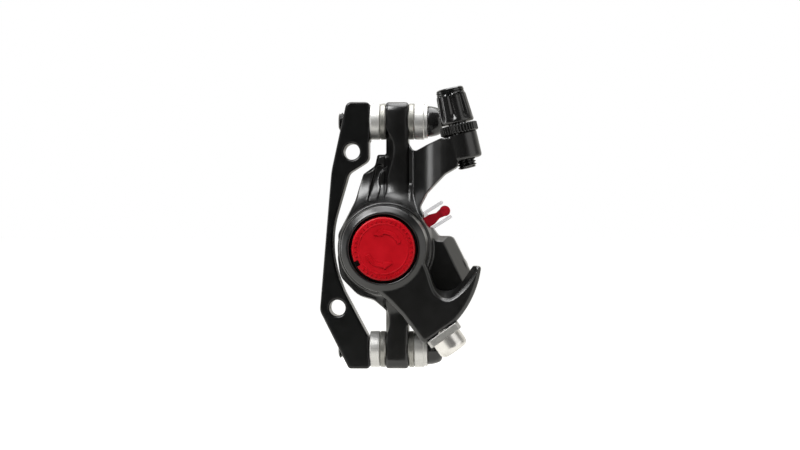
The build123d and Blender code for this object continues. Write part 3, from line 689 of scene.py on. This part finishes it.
@dataclass(frozen=True)
class Crown:
    """A gentle swell across the front face of a casting's upright bar.

    The face falls away toward both sides, as far out as reach says in half widths. The swell
    fades out near the bar's ends and where the face turns away from the front.
    """

    middle: float
    half_width: float
    low: float
    high: float
    fall: float = 0.55 * MM
    fade: float = 3.0 * MM
    reach: float = 1.15
    least_facing: float = 0.2
    full_facing: float = 0.7

    def shape(self, mesh: bpy.types.Mesh) -> None:
        """Lets the front face fall away toward both sides of the bar.

        Args:
            mesh: The casting, changed in place.
        """
        facings = [-item.vector[1] for item in mesh.vertex_normals]
        for vertex, facing in zip(mesh.vertices, facings):
            across = abs(vertex.co.x - self.middle) / self.half_width
            if across > self.reach or facing < self.least_facing:
                continue
            inside = min(vertex.co.z - self.low, self.high - vertex.co.z)
            share = ramp(inside, 0.0, self.fade) * ramp(
                facing, self.least_facing, self.full_facing - self.least_facing)
            vertex.co.y += self.fall * across ** 2 * share


@dataclass
class SoftCasting:
    """A casting's CAD shape with its hard edges rounded the way a mould leaves them."""

    node: str
    body: str
    slot: str
    finish: Finish
    cell: float = 0.25 * MM
    passes: int = 10
    strength: float = 0.5
    crowns: tuple[Crown, ...] = ()

    def build(self) -> None:
        """Makes the rounded copy and stands it in for the CAD node."""
        name = self.node + "_cast"
        draft = placed(name, self._joined_mesh())
        remesh = draft.modifiers.new("cells", "REMESH")
        remesh.mode = "VOXEL"
        remesh.voxel_size = self.cell
        rounding = draft.modifiers.new("rounding", "SMOOTH")
        rounding.factor = self.strength
        rounding.iterations = self.passes
        graph = bpy.context.evaluated_depsgraph_get()
        mesh = bpy.data.meshes.new_from_object(draft.evaluated_get(graph))
        bpy.data.objects.remove(draft)
        for crown in self.crowns:
            crown.shape(mesh)
        mesh.shade_smooth()
        mesh.name = name
        stand_in(name, mesh, self.body, self.slot, self.finish, self.node)

    def _joined_mesh(self) -> bpy.types.Mesh:
        """Copies the node's mesh with its doubled edge points joined.

        Returns:
            The copy.
        """
        mesh = frame["nodes"][self.node].data.copy()
        work = bmesh.new()
        work.from_mesh(mesh)
        bmesh.ops.remove_doubles(work, verts=work.verts, dist=DOUBLED)
        work.to_mesh(mesh)
        work.free()
        mesh.materials.clear()
        return mesh


@dataclass
class MountingStack:
    """The frame adapter with its two screws and their washers.

    A screw's tip, its head's foot and its top are read from the solids, and bracket_end is how
    far its line is from the bracket's end. The head's shape is a list of heights over its foot,
    each with how far it stands in from the head's radius, in millimetres.
    """

    tip: float = field(default_factory=lambda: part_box("mount_bolts")[0].x)
    head: float = field(default_factory=lambda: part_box("flange_washers")[1].x)
    top: float = field(default_factory=lambda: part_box("mount_bolts")[1].x)
    bracket_end: float = 6.2 * MM
    head_radius: float = 5.05 * MM
    head_shape: Sequence[tuple[float, float]] = (
        (0.0, 0.35), (0.15, 0.1), (0.4, 0.0), (1.3, 0.1), (2.4, 0.32), (3.4, 0.62), (4.05, 0.95),
        (4.5, 1.35), (4.72, 1.75), (4.8, 2.1))
    hexagon: float = 2.4 * MM
    hexagon_mouth: float = 2.55 * MM
    hexagon_bevel: float = 0.2 * MM
    hexagon_depth: float = 2.8 * MM
    thread: Thread = Thread(3.0 * MM, 2.5 * MM, 1.0 * MM)
    thread_length: float = 16.0 * MM
    thread_fade: float = 1.0 * MM
    tip_bevel: float = 0.3 * MM
    tip_rise: float = 0.35 * MM
    sides: int = 60

    def build(self) -> None:
        """Dresses the washers, rounds the bracket and cuts real threads on the screws."""
        SoftCasting("mount_bracket", "bracket", "black_bracket", BRACKET_BLACK,
                    cell=0.24 * MM, passes=3).build()
        dress_nodes(BLASTED, "inner_cup_washers", "outer_cup_washers", "flange_washers")
        # The cone washers wear blasted steel made darker as painted shade.
        dress_nodes(CONE_METAL_PAINTED_SHADE, "inner_cone_washers", "outer_cone_washers")
        screws = joined("mounting_screws", [self._screw(axle) for axle in self._axles()])
        stand_in("mounting_screws", screws, "bracket", "black_steel", OXIDE_BLACK, "mount_bolts")

    def _axles(self) -> list[Axle]:
        """Works out the screws' lines from the bracket's box.

        Returns:
            The upper and the lower line.
        """
        low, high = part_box("mount_bracket")
        heights = (high.z - self.bracket_end, low.z + self.bracket_end)
        return [Axle(Vector((0, (low.y + high.y) / 2, height)), Vector((1, 0, 0)),
                     Vector((0, 1, 0))) for height in heights]

    def _screw(self, axle: Axle) -> bpy.types.Mesh:
        """Builds one screw with its threaded tip, rounded head and hex socket.

        Args:
            axle: The screw's line.

        Returns:
            The closed screw.
        """
        rings = [axle.ring(self.tip, self.thread.root - self.tip_bevel, self.sides)]
        rings += self.thread.rings(axle, self.tip + self.tip_rise, self.tip + self.thread_length,
                                   self.sides, self.thread_fade)
        shape = [(self.head, self.thread.crest)]
        shape += [(self.head + up * MM, self.head_radius - less * MM)
                  for up, less in self.head_shape]
        shape += [(self.top, six_sided(self.hexagon_mouth)),
                  (self.top - self.hexagon_bevel, six_sided(self.hexagon)),
                  (self.top - self.hexagon_depth, six_sided(self.hexagon))]
        return skin("screw", rings + axle.rings(shape, self.sides))


@dataclass
class Castings:
    """The two halves of the caliper and the screws that join them."""

    bar_middle: float = 3.35 * MM
    bar_half_width: float = 3.65 * MM
    bar_spans: Sequence[tuple[float, float]] = ((15.0 * MM, 60.0 * MM), (-60.0 * MM, -16.0 * MM))

    def build(self) -> None:
        """Rounds both halves, crowns the outboard one's bars and dresses the rest."""
        crowns = tuple(Crown(self.bar_middle, self.bar_half_width, low, high)
                       for low, high in self.bar_spans)
        SoftCasting("outboard_body", "caliper", "black_casting", CAST_BLACK, crowns=crowns).build()
        SoftCasting("inboard_body", "caliper", "black_casting", CAST_BLACK,
                    cell=0.28 * MM, passes=6).build()
        dress_nodes(OXIDE_BLACK, "body_bolts")
        dress_nodes(BUSHING, "hub_bushing")
        dress_nodes(BRASS, "thrust_washer")
        dress_nodes(RUBBER, "hub_seal")
        dress_nodes(SPRING_WIRE, "return_spring")


@dataclass
class SwingArm:
    """The arm with its cable clamp.

    end_place is the middle of the pressure plate's foot, and end_angle the way that it faces.
    """

    end_place: Point = (18.45 * MM, -29.1 * MM, -26.2 * MM)
    end_angle: float = math.radians(-54.5)
    plate_long: float = 11.4 * MM
    plate_wide: float = 8.4 * MM
    plate_thick: float = 2.3 * MM
    plate_corner: float = 1.2 * MM
    corner_steps: int = 6
    bevel: float = 0.18 * MM
    bevel_rise: float = 0.16 * MM
    hole: float = 2.7 * MM
    hole_shift: float = -0.3 * MM
    tooth_pitch: float = 0.42 * MM
    tooth_depth: float = 0.07 * MM

    def build(self) -> None:
        """Rounds the arm and dresses its clamp."""
        SoftCasting("torque_arm", "arm", "black_casting", CAST_BLACK,
                    cell=0.22 * MM, passes=14).build()
        # The pressure plate wears blasted steel made darker as painted shade.
        stand_in("pressure_plate", self._plate(), "arm", "blasted_steel", PLATE_STEEL_PAINTED_SHADE,
                 "cable_clamp_washer")
        dress_nodes(BOLT_STEEL, "cable_clamp_bolt")

    def _plate(self) -> bpy.types.Mesh:
        """Builds the pressure plate with its finely toothed long sides.

        Returns:
            The closed plate.
        """
        edge = self._toothed_outline(0.0)
        inner = self._toothed_outline(self.bevel)
        bore = []
        for x, z in edge:
            angle = math.atan2(z, x - self.hole_shift)
            bore.append((self.hole_shift + self.hole * math.cos(angle),
                         self.hole * math.sin(angle)))
        top = self.plate_thick
        layers = ((bore, 0.0), (inner, 0.0), (edge, self.bevel_rise),
                  (edge, top - self.bevel_rise), (inner, top), (bore, top))
        rings = [self._on_clamp_end(points, up) for points, up in layers]
        return skin("pressure_plate", rings, looped=True)

    def _toothed_outline(self, inset: float) -> Outline:
        """Lists the outline's points in depth and length.

        Args:
            inset: How far the outline stands in from the plate's edge.

        Returns:
            The points, counter-clockwise.
        """
        half_wide = self.plate_wide / 2 - inset
        half_long = self.plate_long / 2 - inset
        corner = self.plate_corner - inset
        points = []
        for turn in range(4):
            x = (half_wide - corner) * (1 if turn in (0, 3) else -1)
            z = (half_long - corner) * (1 if turn in (0, 1) else -1)
            for step in range(self.corner_steps + 1):
                angle = math.pi / 2 * (turn + step / self.corner_steps)
                points.append((x + corner * math.cos(angle), z + corner * math.sin(angle)))
            if turn in (1, 3):
                points += self._teeth(half_wide, half_long - corner, 1 if turn == 3 else -1)
        return points

    def _teeth(self, side: float, reach: float, way: int) -> Outline:
        """Lists the zigzag along one long side.

        Args:
            side: The side's distance from the plate's middle.
            reach: Half the side's straight length.
            way: 1 for the side that is run through upward, -1 for the other.

        Returns:
            The points between the side's two corners.
        """
        teeth = 2 * int(reach / self.tooth_pitch)
        points = []
        for index in range(1, 2 * teeth):
            dip = self.tooth_depth if index % 2 else 0.0
            points.append((way * (side - dip), way * (-reach + reach * index / teeth)))
        return points

    def _on_clamp_end(self, points: Outline, up: float) -> Ring:
        """Puts outline points on the arm's clamp end.

        Args:
            points: The outline's points in depth and length.
            up: Their height over the clamp end.

        Returns:
            The points in place.
        """
        out = Vector((math.cos(self.end_angle), 0, math.sin(self.end_angle)))
        length = Vector((-math.sin(self.end_angle), 0, math.cos(self.end_angle)))
        return [Vector(self.end_place) + Vector((0, x, 0)) + length * z + out * up
                for x, z in points]


@dataclass
class BallRamp:
    """The rings, balls and piston that turn the arm's swing into a push."""

    def build(self) -> None:
        """Dresses the hidden steel."""
        dress_nodes(TURNED, "ramp_ring", "ramp_balls", "ramp_piston")
        dress_nodes(SPRING_WIRE, "arm_retaining_ring")
        dress_nodes(BRASS, "ball_cage")


@dataclass
class Adjusters:
    """The two red knobs with their clips and foot screws.

    The outer knob carries raised click ticks, a round border and two curved turning arrows. The
    ticks leave out the rim's notch, and their foot and top are half angles. An arrow's shaft is
    a share of its sweep, and its head is a number of times as wide as the shaft.
    """

    face: float = field(default_factory=lambda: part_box("outer_knob")[0].y)
    relief: float = 0.3 * MM
    sink: float = 0.05 * MM
    tick_count: int = 36
    ticks_at_notch: tuple[int, ...] = (20, 21)
    tick_low: float = 8.5 * MM
    tick_high: float = 9.25 * MM
    tick_foot: float = 0.030
    tick_top: float = 0.018
    tick_lean: float = 0.1 * MM
    border_radius: float = 7.9 * MM
    border_wide: float = 0.22 * MM
    border_high: float = 0.15 * MM
    border_sides: int = 8
    border_steps: int = 96
    arrow_starts: tuple[float, ...] = (math.radians(20), math.radians(200))
    arrow_radius: float = 5.3 * MM
    arrow_wide: float = 1.3 * MM
    arrow_sweep: float = math.radians(105)
    arrow_shaft: float = 0.68
    arrow_steps: int = 12
    arrow_lean: float = 0.12 * MM
    arrow_head: float = 2.1

    def build(self) -> None:
        """Dresses knobs, clips and screws and raises the turning marks on the outer knob."""
        dress_nodes(KNOB_RED, "outer_knob", "inner_knob")
        dress_nodes(SPRING_WIRE, "outer_knob_clip", "inner_knob_clip")
        dress_nodes(TURNED, "outer_foot_screw", "inner_foot_screw")
        marks = [self._tick(FULL_TURN * (index + 0.5) / self.tick_count)
                 for index in range(self.tick_count) if index not in self.ticks_at_notch]
        marks.append(self._border())
        marks += [self._arrow(start) for start in self.arrow_starts]
        stand_in("knob_marks", joined("knob_marks", marks), "outer_adjuster", "red_plastic",
                 KNOB_RED)

    def _point(self, radius: float, angle: float, up: float) -> Vector:
        """Gives a point over the knob's face."""
        return Vector((radius * math.cos(angle), self.face - up, radius * math.sin(angle)))

    def _raised(self, foot: Outline, top: Outline) -> bpy.types.Mesh:
        """Raises a flat mark with leaning sides.

        Args:
            foot: The outline of the mark's foot as radius and angle.
            top: The outline of its top.

        Returns:
            The closed mark.
        """
        return skin("mark", [[self._point(radius, angle, up) for radius, angle in outline]
                             for outline, up in ((foot, -self.sink), (top, self.relief))])

    def _tick(self, middle: float) -> bpy.types.Mesh:
        """Raises the click tick at one angle of the rim."""
        return self._raised(self._tick_outline(middle, self.tick_foot, 0.0),
                            self._tick_outline(middle, self.tick_top, self.tick_lean))

    def _tick_outline(self, middle: float, half: float, inset: float) -> Outline:
        """Lists a tick's corners as radius and angle.

        Args:
            middle: The tick's angle.
            half: Half the angle that it spans.
            inset: How far its ends stand in.

        Returns:
            The four corners.
        """
        low, high = self.tick_low + inset, self.tick_high - inset
        return [(low, middle - half), (high, middle - half), (high, middle + half),
                (low, middle + half)]

    def _border(self) -> bpy.types.Mesh:
        """Raises the round border inside the ticks.

        Returns:
            The closed border.
        """
        profile = [(self.border_radius + self.border_wide * math.cos(turn),
                    self.border_high * math.sin(turn)) for turn in angles(self.border_sides)]
        rings = [[self._point(radius, angle, up) for radius, up in profile]
                 for angle in angles(self.border_steps)]
        return skin("border", rings, looped=True)

    def _arrow(self, start: float) -> bpy.types.Mesh:
        """Raises one curved arrow from the angle of its tail."""
        return self._raised(self._arrow_outline(start, 0.0),
                            self._arrow_outline(start, self.arrow_lean))

    def _arrow_outline(self, start: float, inset: float) -> Outline:
        """Lists an arrow's outline as radius and angle.

        Args:
            start: The angle of its tail.
            inset: How far the outline stands in from the arrow's foot.

        Returns:
            The outline's points.
        """
        half = self.arrow_wide / 2 - inset
        wing = self.arrow_head * half
        turn = inset / self.arrow_radius
        tail, neck = start + turn, start + self.arrow_sweep * self.arrow_shaft
        tip = (self.arrow_radius, start + self.arrow_sweep - turn)
        shaft = [tail + (neck - tail) * step / self.arrow_steps
                 for step in range(self.arrow_steps + 1)]
        outer = [(self.arrow_radius + half, angle) for angle in shaft]
        inner = [(self.arrow_radius - half, angle) for angle in reversed(shaft)]
        head = [(self.arrow_radius + wing, neck + turn), tip,
                (self.arrow_radius - wing, neck + turn)]
        return outer + head + inner


@dataclass
class PadSet:
    """The pads and the spring between them."""

    def build(self) -> None:
        """Dresses plates, linings and spring."""
        dress_nodes(OXIDE_BLACK, "outboard_backplate", "inboard_backplate")
        dress_nodes(FRICTION, "outboard_lining", "inboard_lining")
        dress_nodes(SPRING_WIRE, "pad_spreader")


@dataclass
class CableEntry:
    """The barrel adjuster at the end of the cable arm.

    Stations run up the barrel's line from the point of it that is nearest to the arm's pivot,
    and shares run up the grip from 0 to 1.
    """

    # The hollow screw, its grooved rim and the bores down its middle.
    tip: float = 18.9 * MM
    tip_bevel: float = 0.1 * MM
    tip_rise: float = 0.25 * MM
    thread: Thread = Thread(3.0 * MM, 2.45 * MM, 0.9 * MM)
    thread_length: float = 7.0 * MM
    thread_fade: float = 0.6 * MM
    screw_sides: int = 64
    tube: float = 3.7 * MM
    rim: float = 4.45 * MM
    rim_grooves: Sequence[float] = (43.6 * MM, 44.35 * MM)
    groove_half: float = 0.15 * MM
    groove_deep: float = 0.25 * MM
    top: float = 44.9 * MM
    top_bevel: float = 0.5 * MM
    top_lean: float = 0.05 * MM
    bore: float = 1.1 * MM
    socket: float = 2.55 * MM
    socket_floor: float = 36.9 * MM
    socket_bevel: float = 0.2 * MM
    seat: float = 2.3 * MM
    seat_floor: float = 34.85 * MM
    # The grip, with its rounded ends and its flutes.
    sleeve_low: float = 33.6 * MM
    sleeve_high: float = 43.0 * MM
    sleeve_low_radius: float = 5.5 * MM
    sleeve_high_radius: float = 4.75 * MM
    sleeve_sides: int = 128
    sleeve_steps: int = 24
    foot_round: float = 0.35 * MM
    foot_share: float = 1 / 14
    head_round: float = 0.25 * MM
    head_share: float = 0.06
    flutes: int = 8
    flute_turn: float = 0.9
    flute_depth: float = 0.95 * MM
    flute_start: float = 0.05
    flute_run: float = 0.3
    flute_fall: float = 0.35
    flute_narrow: float = 2.6
    # The lock ring and its knurl.
    ring_low: float = 30.25 * MM
    ring_high: float = 33.1 * MM
    ring_radius: float = 6.1 * MM
    ring_bore: float = 3.05 * MM
    ring_bevel: float = 0.25 * MM
    knurls: int = 36
    knurl_depth: float = 0.36 * MM
    knurl_narrow: float = 1.5
    knurl_steps: int = 6

    def build(self) -> None:
        """Cuts the barrel's thread, shapes its grip and dresses the lock ring and seat."""
        axle = self._axle()
        for name, mesh, body, node in (
                ("barrel_screw", self._screw(axle), "cable_barrel", "barrel"),
                ("barrel_sleeve", self._sleeve(axle), "cable_barrel", "barrel_grip"),
                ("knurled_ring", self._ring(axle), "lock", "lock_ring")):
            stand_in(name, mesh, body, "black_plastic", BARREL_BLACK, node)
        dress_nodes(BRASS, "housing_seat")

    def _axle(self) -> Axle:
        """Gives the barrel's line from the joint that it turns on.

        Returns:
            The line, with angle 0 away from the pivot.
        """
        joint = next(item for item in frame["joints"] if item["name"] == "barrel_turn")
        along = Vector(joint["axis"])
        place = Vector(joint["pos_m"])
        return Axle(place - along * place.dot(along), along, Vector((along.z, 0, -along.x)))

    def _screw(self, axle: Axle) -> bpy.types.Mesh:
        """Builds the hollow screw with its threaded tip and grooved rim.

        Args:
            axle: The barrel's line.

        Returns:
            The closed screw.
        """
        rings = [axle.ring(self.tip, self.thread.root - self.tip_bevel, self.screw_sides)]
        rings += self.thread.rings(axle, self.tip + self.tip_rise, self.tip + self.thread_length,
                                   self.screw_sides, self.thread_fade)
        shape = [(self.sleeve_low, self.thread.crest), (self.sleeve_low, self.tube),
                 (self.sleeve_high, self.tube), (self.sleeve_high, self.rim)]
        for groove, lean in zip(self.rim_grooves, (0.0, self.top_lean)):
            shape += [(groove - self.groove_half, self.rim), (groove, self.rim - self.groove_deep),
                      (groove + self.groove_half, self.rim - lean)]
        shape += [(self.top, self.rim - self.top_bevel),
                  (self.top, self.socket + self.socket_bevel),
                  (self.top - self.socket_bevel, self.socket),
                  (self.socket_floor, self.socket), (self.socket_floor, self.seat),
                  (self.seat_floor, self.seat), (self.seat_floor, self.bore),
                  (self.tip, self.bore)]
        rings += axle.rings(shape, self.screw_sides)
        return skin("barrel_screw", rings, looped=True)

    def _ring(self, axle: Axle) -> bpy.types.Mesh:
        """Builds the lock ring with its fine straight knurl.

        Args:
            axle: The barrel's line.

        Returns:
            The closed ring.
        """
        def knurled(angle: float) -> float:
            """Gives the ring's radius at one angle."""
            wave = 0.5 + 0.5 * math.cos(self.knurls * angle)
            return self.ring_radius - self.knurl_depth * wave ** self.knurl_narrow

        shoulder = self.ring_radius - 2 * self.ring_bevel
        shape = [(self.ring_low, self.ring_bore), (self.ring_low, shoulder),
                 (self.ring_low + self.ring_bevel, knurled),
                 (self.ring_high - self.ring_bevel, knurled),
                 (self.ring_high, shoulder), (self.ring_high, self.ring_bore)]
        rings = axle.rings(shape, self.knurls * self.knurl_steps)
        return skin("knurled_ring", rings, looped=True)

    def _sleeve(self, axle: Axle) -> bpy.types.Mesh:
        """Builds the tapered grip with its tall scalloped flutes.

        Args:
            axle: The barrel's line.

        Returns:
            The closed grip.
        """
        rings = [axle.ring(self.sleeve_low, self.tube, self.sleeve_sides)]
        for step in range(self.sleeve_steps + 1):
            share = step / self.sleeve_steps
            station = self.sleeve_low + (self.sleeve_high - self.sleeve_low) * share
            rings.append(axle.ring(station, self._scalloped(share), self.sleeve_sides))
        rings.append(axle.ring(self.sleeve_high, self.tube, self.sleeve_sides))
        return skin("barrel_sleeve", rings, looped=True)

    def _scalloped(self, share: float) -> RadiusAt:
        """Gives the grip's outline by angle.

        Args:
            share: How far up the grip it is, 0 to 1.

        Returns:
            The radius for an angle.
        """
        foot = max(0.0, 1 - share / self.foot_share)
        head = max(0.0, 1 - (1 - share) / self.head_share)
        taper = self.sleeve_high_radius - self.sleeve_low_radius
        radius = self.sleeve_low_radius + taper * share
        radius -= self.foot_round * foot ** 2 + self.head_round * head ** 2
        start = ramp(share, self.flute_start, self.flute_run)
        deep = self.flute_depth * start * start * (3 - 2 * start) * (1 - self.flute_fall * share)

        def outline(angle: float) -> float:
            """Gives the radius at one angle."""
            wave = 0.5 + 0.5 * math.cos(self.flutes * angle + self.flute_turn)
            return radius - deep * wave ** self.flute_narrow

        return outline


@dataclass
class TransitSpacer:
    """The clear fork with its red handle that keeps the pads apart."""

    def build(self) -> None:
        """Dresses fork and handle."""
        dress_nodes(CLEAR, "spacer_fork")
        # The grip's brighter red is painted light against the arm's shade.
        dress_nodes(TAB_RED_PAINTED_LIGHT, "spacer_grip")


@dataclass(frozen=True)
class SoftBox:
    """A square lamp that faces the object: its place and side in metres, its power in watts."""

    name: str
    place: Point
    size: float
    power: float
    colour: Colour = WHITE

    def hang(self) -> None:
        """Puts the lamp in the scene."""
        data = bpy.data.lights.new(self.name, "AREA")
        data.shape = "SQUARE"
        data.size = self.size
        data.energy = self.power
        data.color = self.colour
        lamp = placed(self.name, data)
        lamp.location = self.place
        lamp.rotation_euler = (-Vector(self.place)).to_track_quat("-Z", "Y").to_euler()


@dataclass
class Studio:
    """Camera, lamps, world and floor."""

    camera_place: Point = (36.057 * MM, -663.013 * MM, 7.553 * MM)
    camera_turn: float = math.radians(2.8)
    lens: float = 90.09
    sensor: float = 36.0
    clip_start: float = 0.02
    clip_end: float = 50.0
    lamps: Sequence[SoftBox] = (
        SoftBox("key", (-0.33, -0.37, 0.54), 0.4, 7.4),
        SoftBox("overhead", (0.05, 0.04, 0.6), 0.5, 5.0),
        SoftBox("left", (-0.62, 0.02, 0.05), 0.2, 0.7),
        SoftBox("right", (0.5, -0.32, 0.08), 0.5, 1.1, (1.0, 0.99, 0.97)))
    room_light: float = 0.06
    room_colour: Colour = (1.0, 0.98, 0.92)
    room_end: float = -0.1
    backdrop_start: float = 0.8
    floor_drop: float = 45 * MM
    floor_half: float = 3.0
    floor_front: float = -0.2
    floor_back: float = 12.0
    floor_dark: Colour = (0.5, 0.5, 0.49)
    floor_light: Colour = (0.54, 0.54, 0.53)
    floor_glow: float = 0.85
    warm_colour: Colour = (1.0, 0.95, 0.8)
    warm_glow: float = 0.3

    def build(self) -> None:
        """Sets the whole studio."""
        self._camera()
        self._room()
        for lamp in self.lamps:
            lamp.hang()
        self._floor()
        bpy.context.scene.view_settings.view_transform = "Standard"

    def _camera(self) -> None:
        """Places the camera level, a little to the right of square on."""
        data = bpy.data.cameras.new("camera")
        data.lens = self.lens
        data.sensor_width = self.sensor
        data.clip_start = self.clip_start
        data.clip_end = self.clip_end
        camera = placed("camera", data)
        camera.location = self.camera_place
        camera.rotation_euler = (math.pi / 2, 0.0, self.camera_turn)
        bpy.context.scene.camera = camera

    def _room(self) -> None:
        """Lays a white background behind the object and a dim room in front of it."""
        world = bpy.data.worlds.new("room")
        bpy.context.scene.world = world
        nodes = Nodes(world, Canvas.ROOM)
        depth = nodes.add("ShaderNodeSeparateXYZ", {"Vector": nodes.place}).outputs["Y"]
        strength = nodes.spread(depth, self.room_light, 1.0, self.room_end, self.backdrop_start,
                                interpolation_type="SMOOTHSTEP")
        light = nodes.add("ShaderNodeBackground", {
            "Color": (*self.room_colour, 1.0), "Strength": strength}).outputs["Background"]
        plain = nodes.add("ShaderNodeBackground", {
            "Color": (*WHITE, 1.0)}).outputs["Background"]
        rays = nodes.add("ShaderNodeLightPath")
        nodes.show(nodes.mixed(nodes.in_view(rays), light, plain))

    def _floor(self) -> None:
        """Lays the pale floor below the object."""
        half, front, back = self.floor_half, self.floor_front, self.floor_back
        height = CAD_BOX[0].z - self.floor_drop
        corners = ((-half, front), (half, front), (half, back), (-half, back))
        mesh = bpy.data.meshes.new("floor")
        mesh.from_pydata([(x, y, height) for x, y in corners], [], [(0, 1, 2, 3)])
        floor = placed("floor", mesh)
        mesh.materials.append(self._floor_material())

    def _floor_material(self) -> bpy.types.Material:
        """Makes the floor plain white to the camera, with the object's shadow kept.

        Returns:
            The material.
        """
        material = bpy.data.materials.new("floor")
        nodes = Nodes(material, Canvas.SURFACE)
        speck = nodes.noise(Grain.SPECK, detail=2.0)
        colour = nodes.tint(speck, self.floor_dark, self.floor_light)
        matt = nodes.add("ShaderNodeBsdfDiffuse", {"Color": colour}).outputs["BSDF"]
        rays = nodes.add("ShaderNodeLightPath")
        white = self._with_glow(nodes, matt, WHITE, self.floor_glow)
        warm = self._with_glow(nodes, matt, self.warm_colour, self.warm_glow)
        mirrored = nodes.mixed(rays.outputs["Is Glossy Ray"], matt, warm)
        nodes.show(nodes.mixed(nodes.in_view(rays), mirrored, white))
        return material

    def _with_glow(self, nodes: Nodes, matt: Socket, colour: Colour, strength: float) -> Socket:
        """Adds a steady glow to the floor's matt face, so that its shadow still shows.

        Args:
            nodes: The floor's nodes.
            matt: The floor's matt shader.
            colour: The glow's colour.
            strength: The glow's strength.

        Returns:
            The joined shader socket.
        """
        glow = nodes.add("ShaderNodeEmission", {"Color": (*colour, 1.0), "Strength": strength})
        both = nodes.add("ShaderNodeAddShader", {0: matt, 1: glow.outputs["Emission"]})
        return both.outputs["Shader"]


def main() -> None:
    """Builds every sub-assembly's looks and the studio."""
    logging.basicConfig(level=logging.INFO, format="%(name)s: %(message)s")
    for assembly in (MountingStack(), Castings(), SwingArm(), BallRamp(), Adjusters(), PadSet(),
                     CableEntry(), TransitSpacer(), Studio()):
        LOG.info("building %s", type(assembly).__name__)
        assembly.build()


if __name__ == "__main__":
    main()
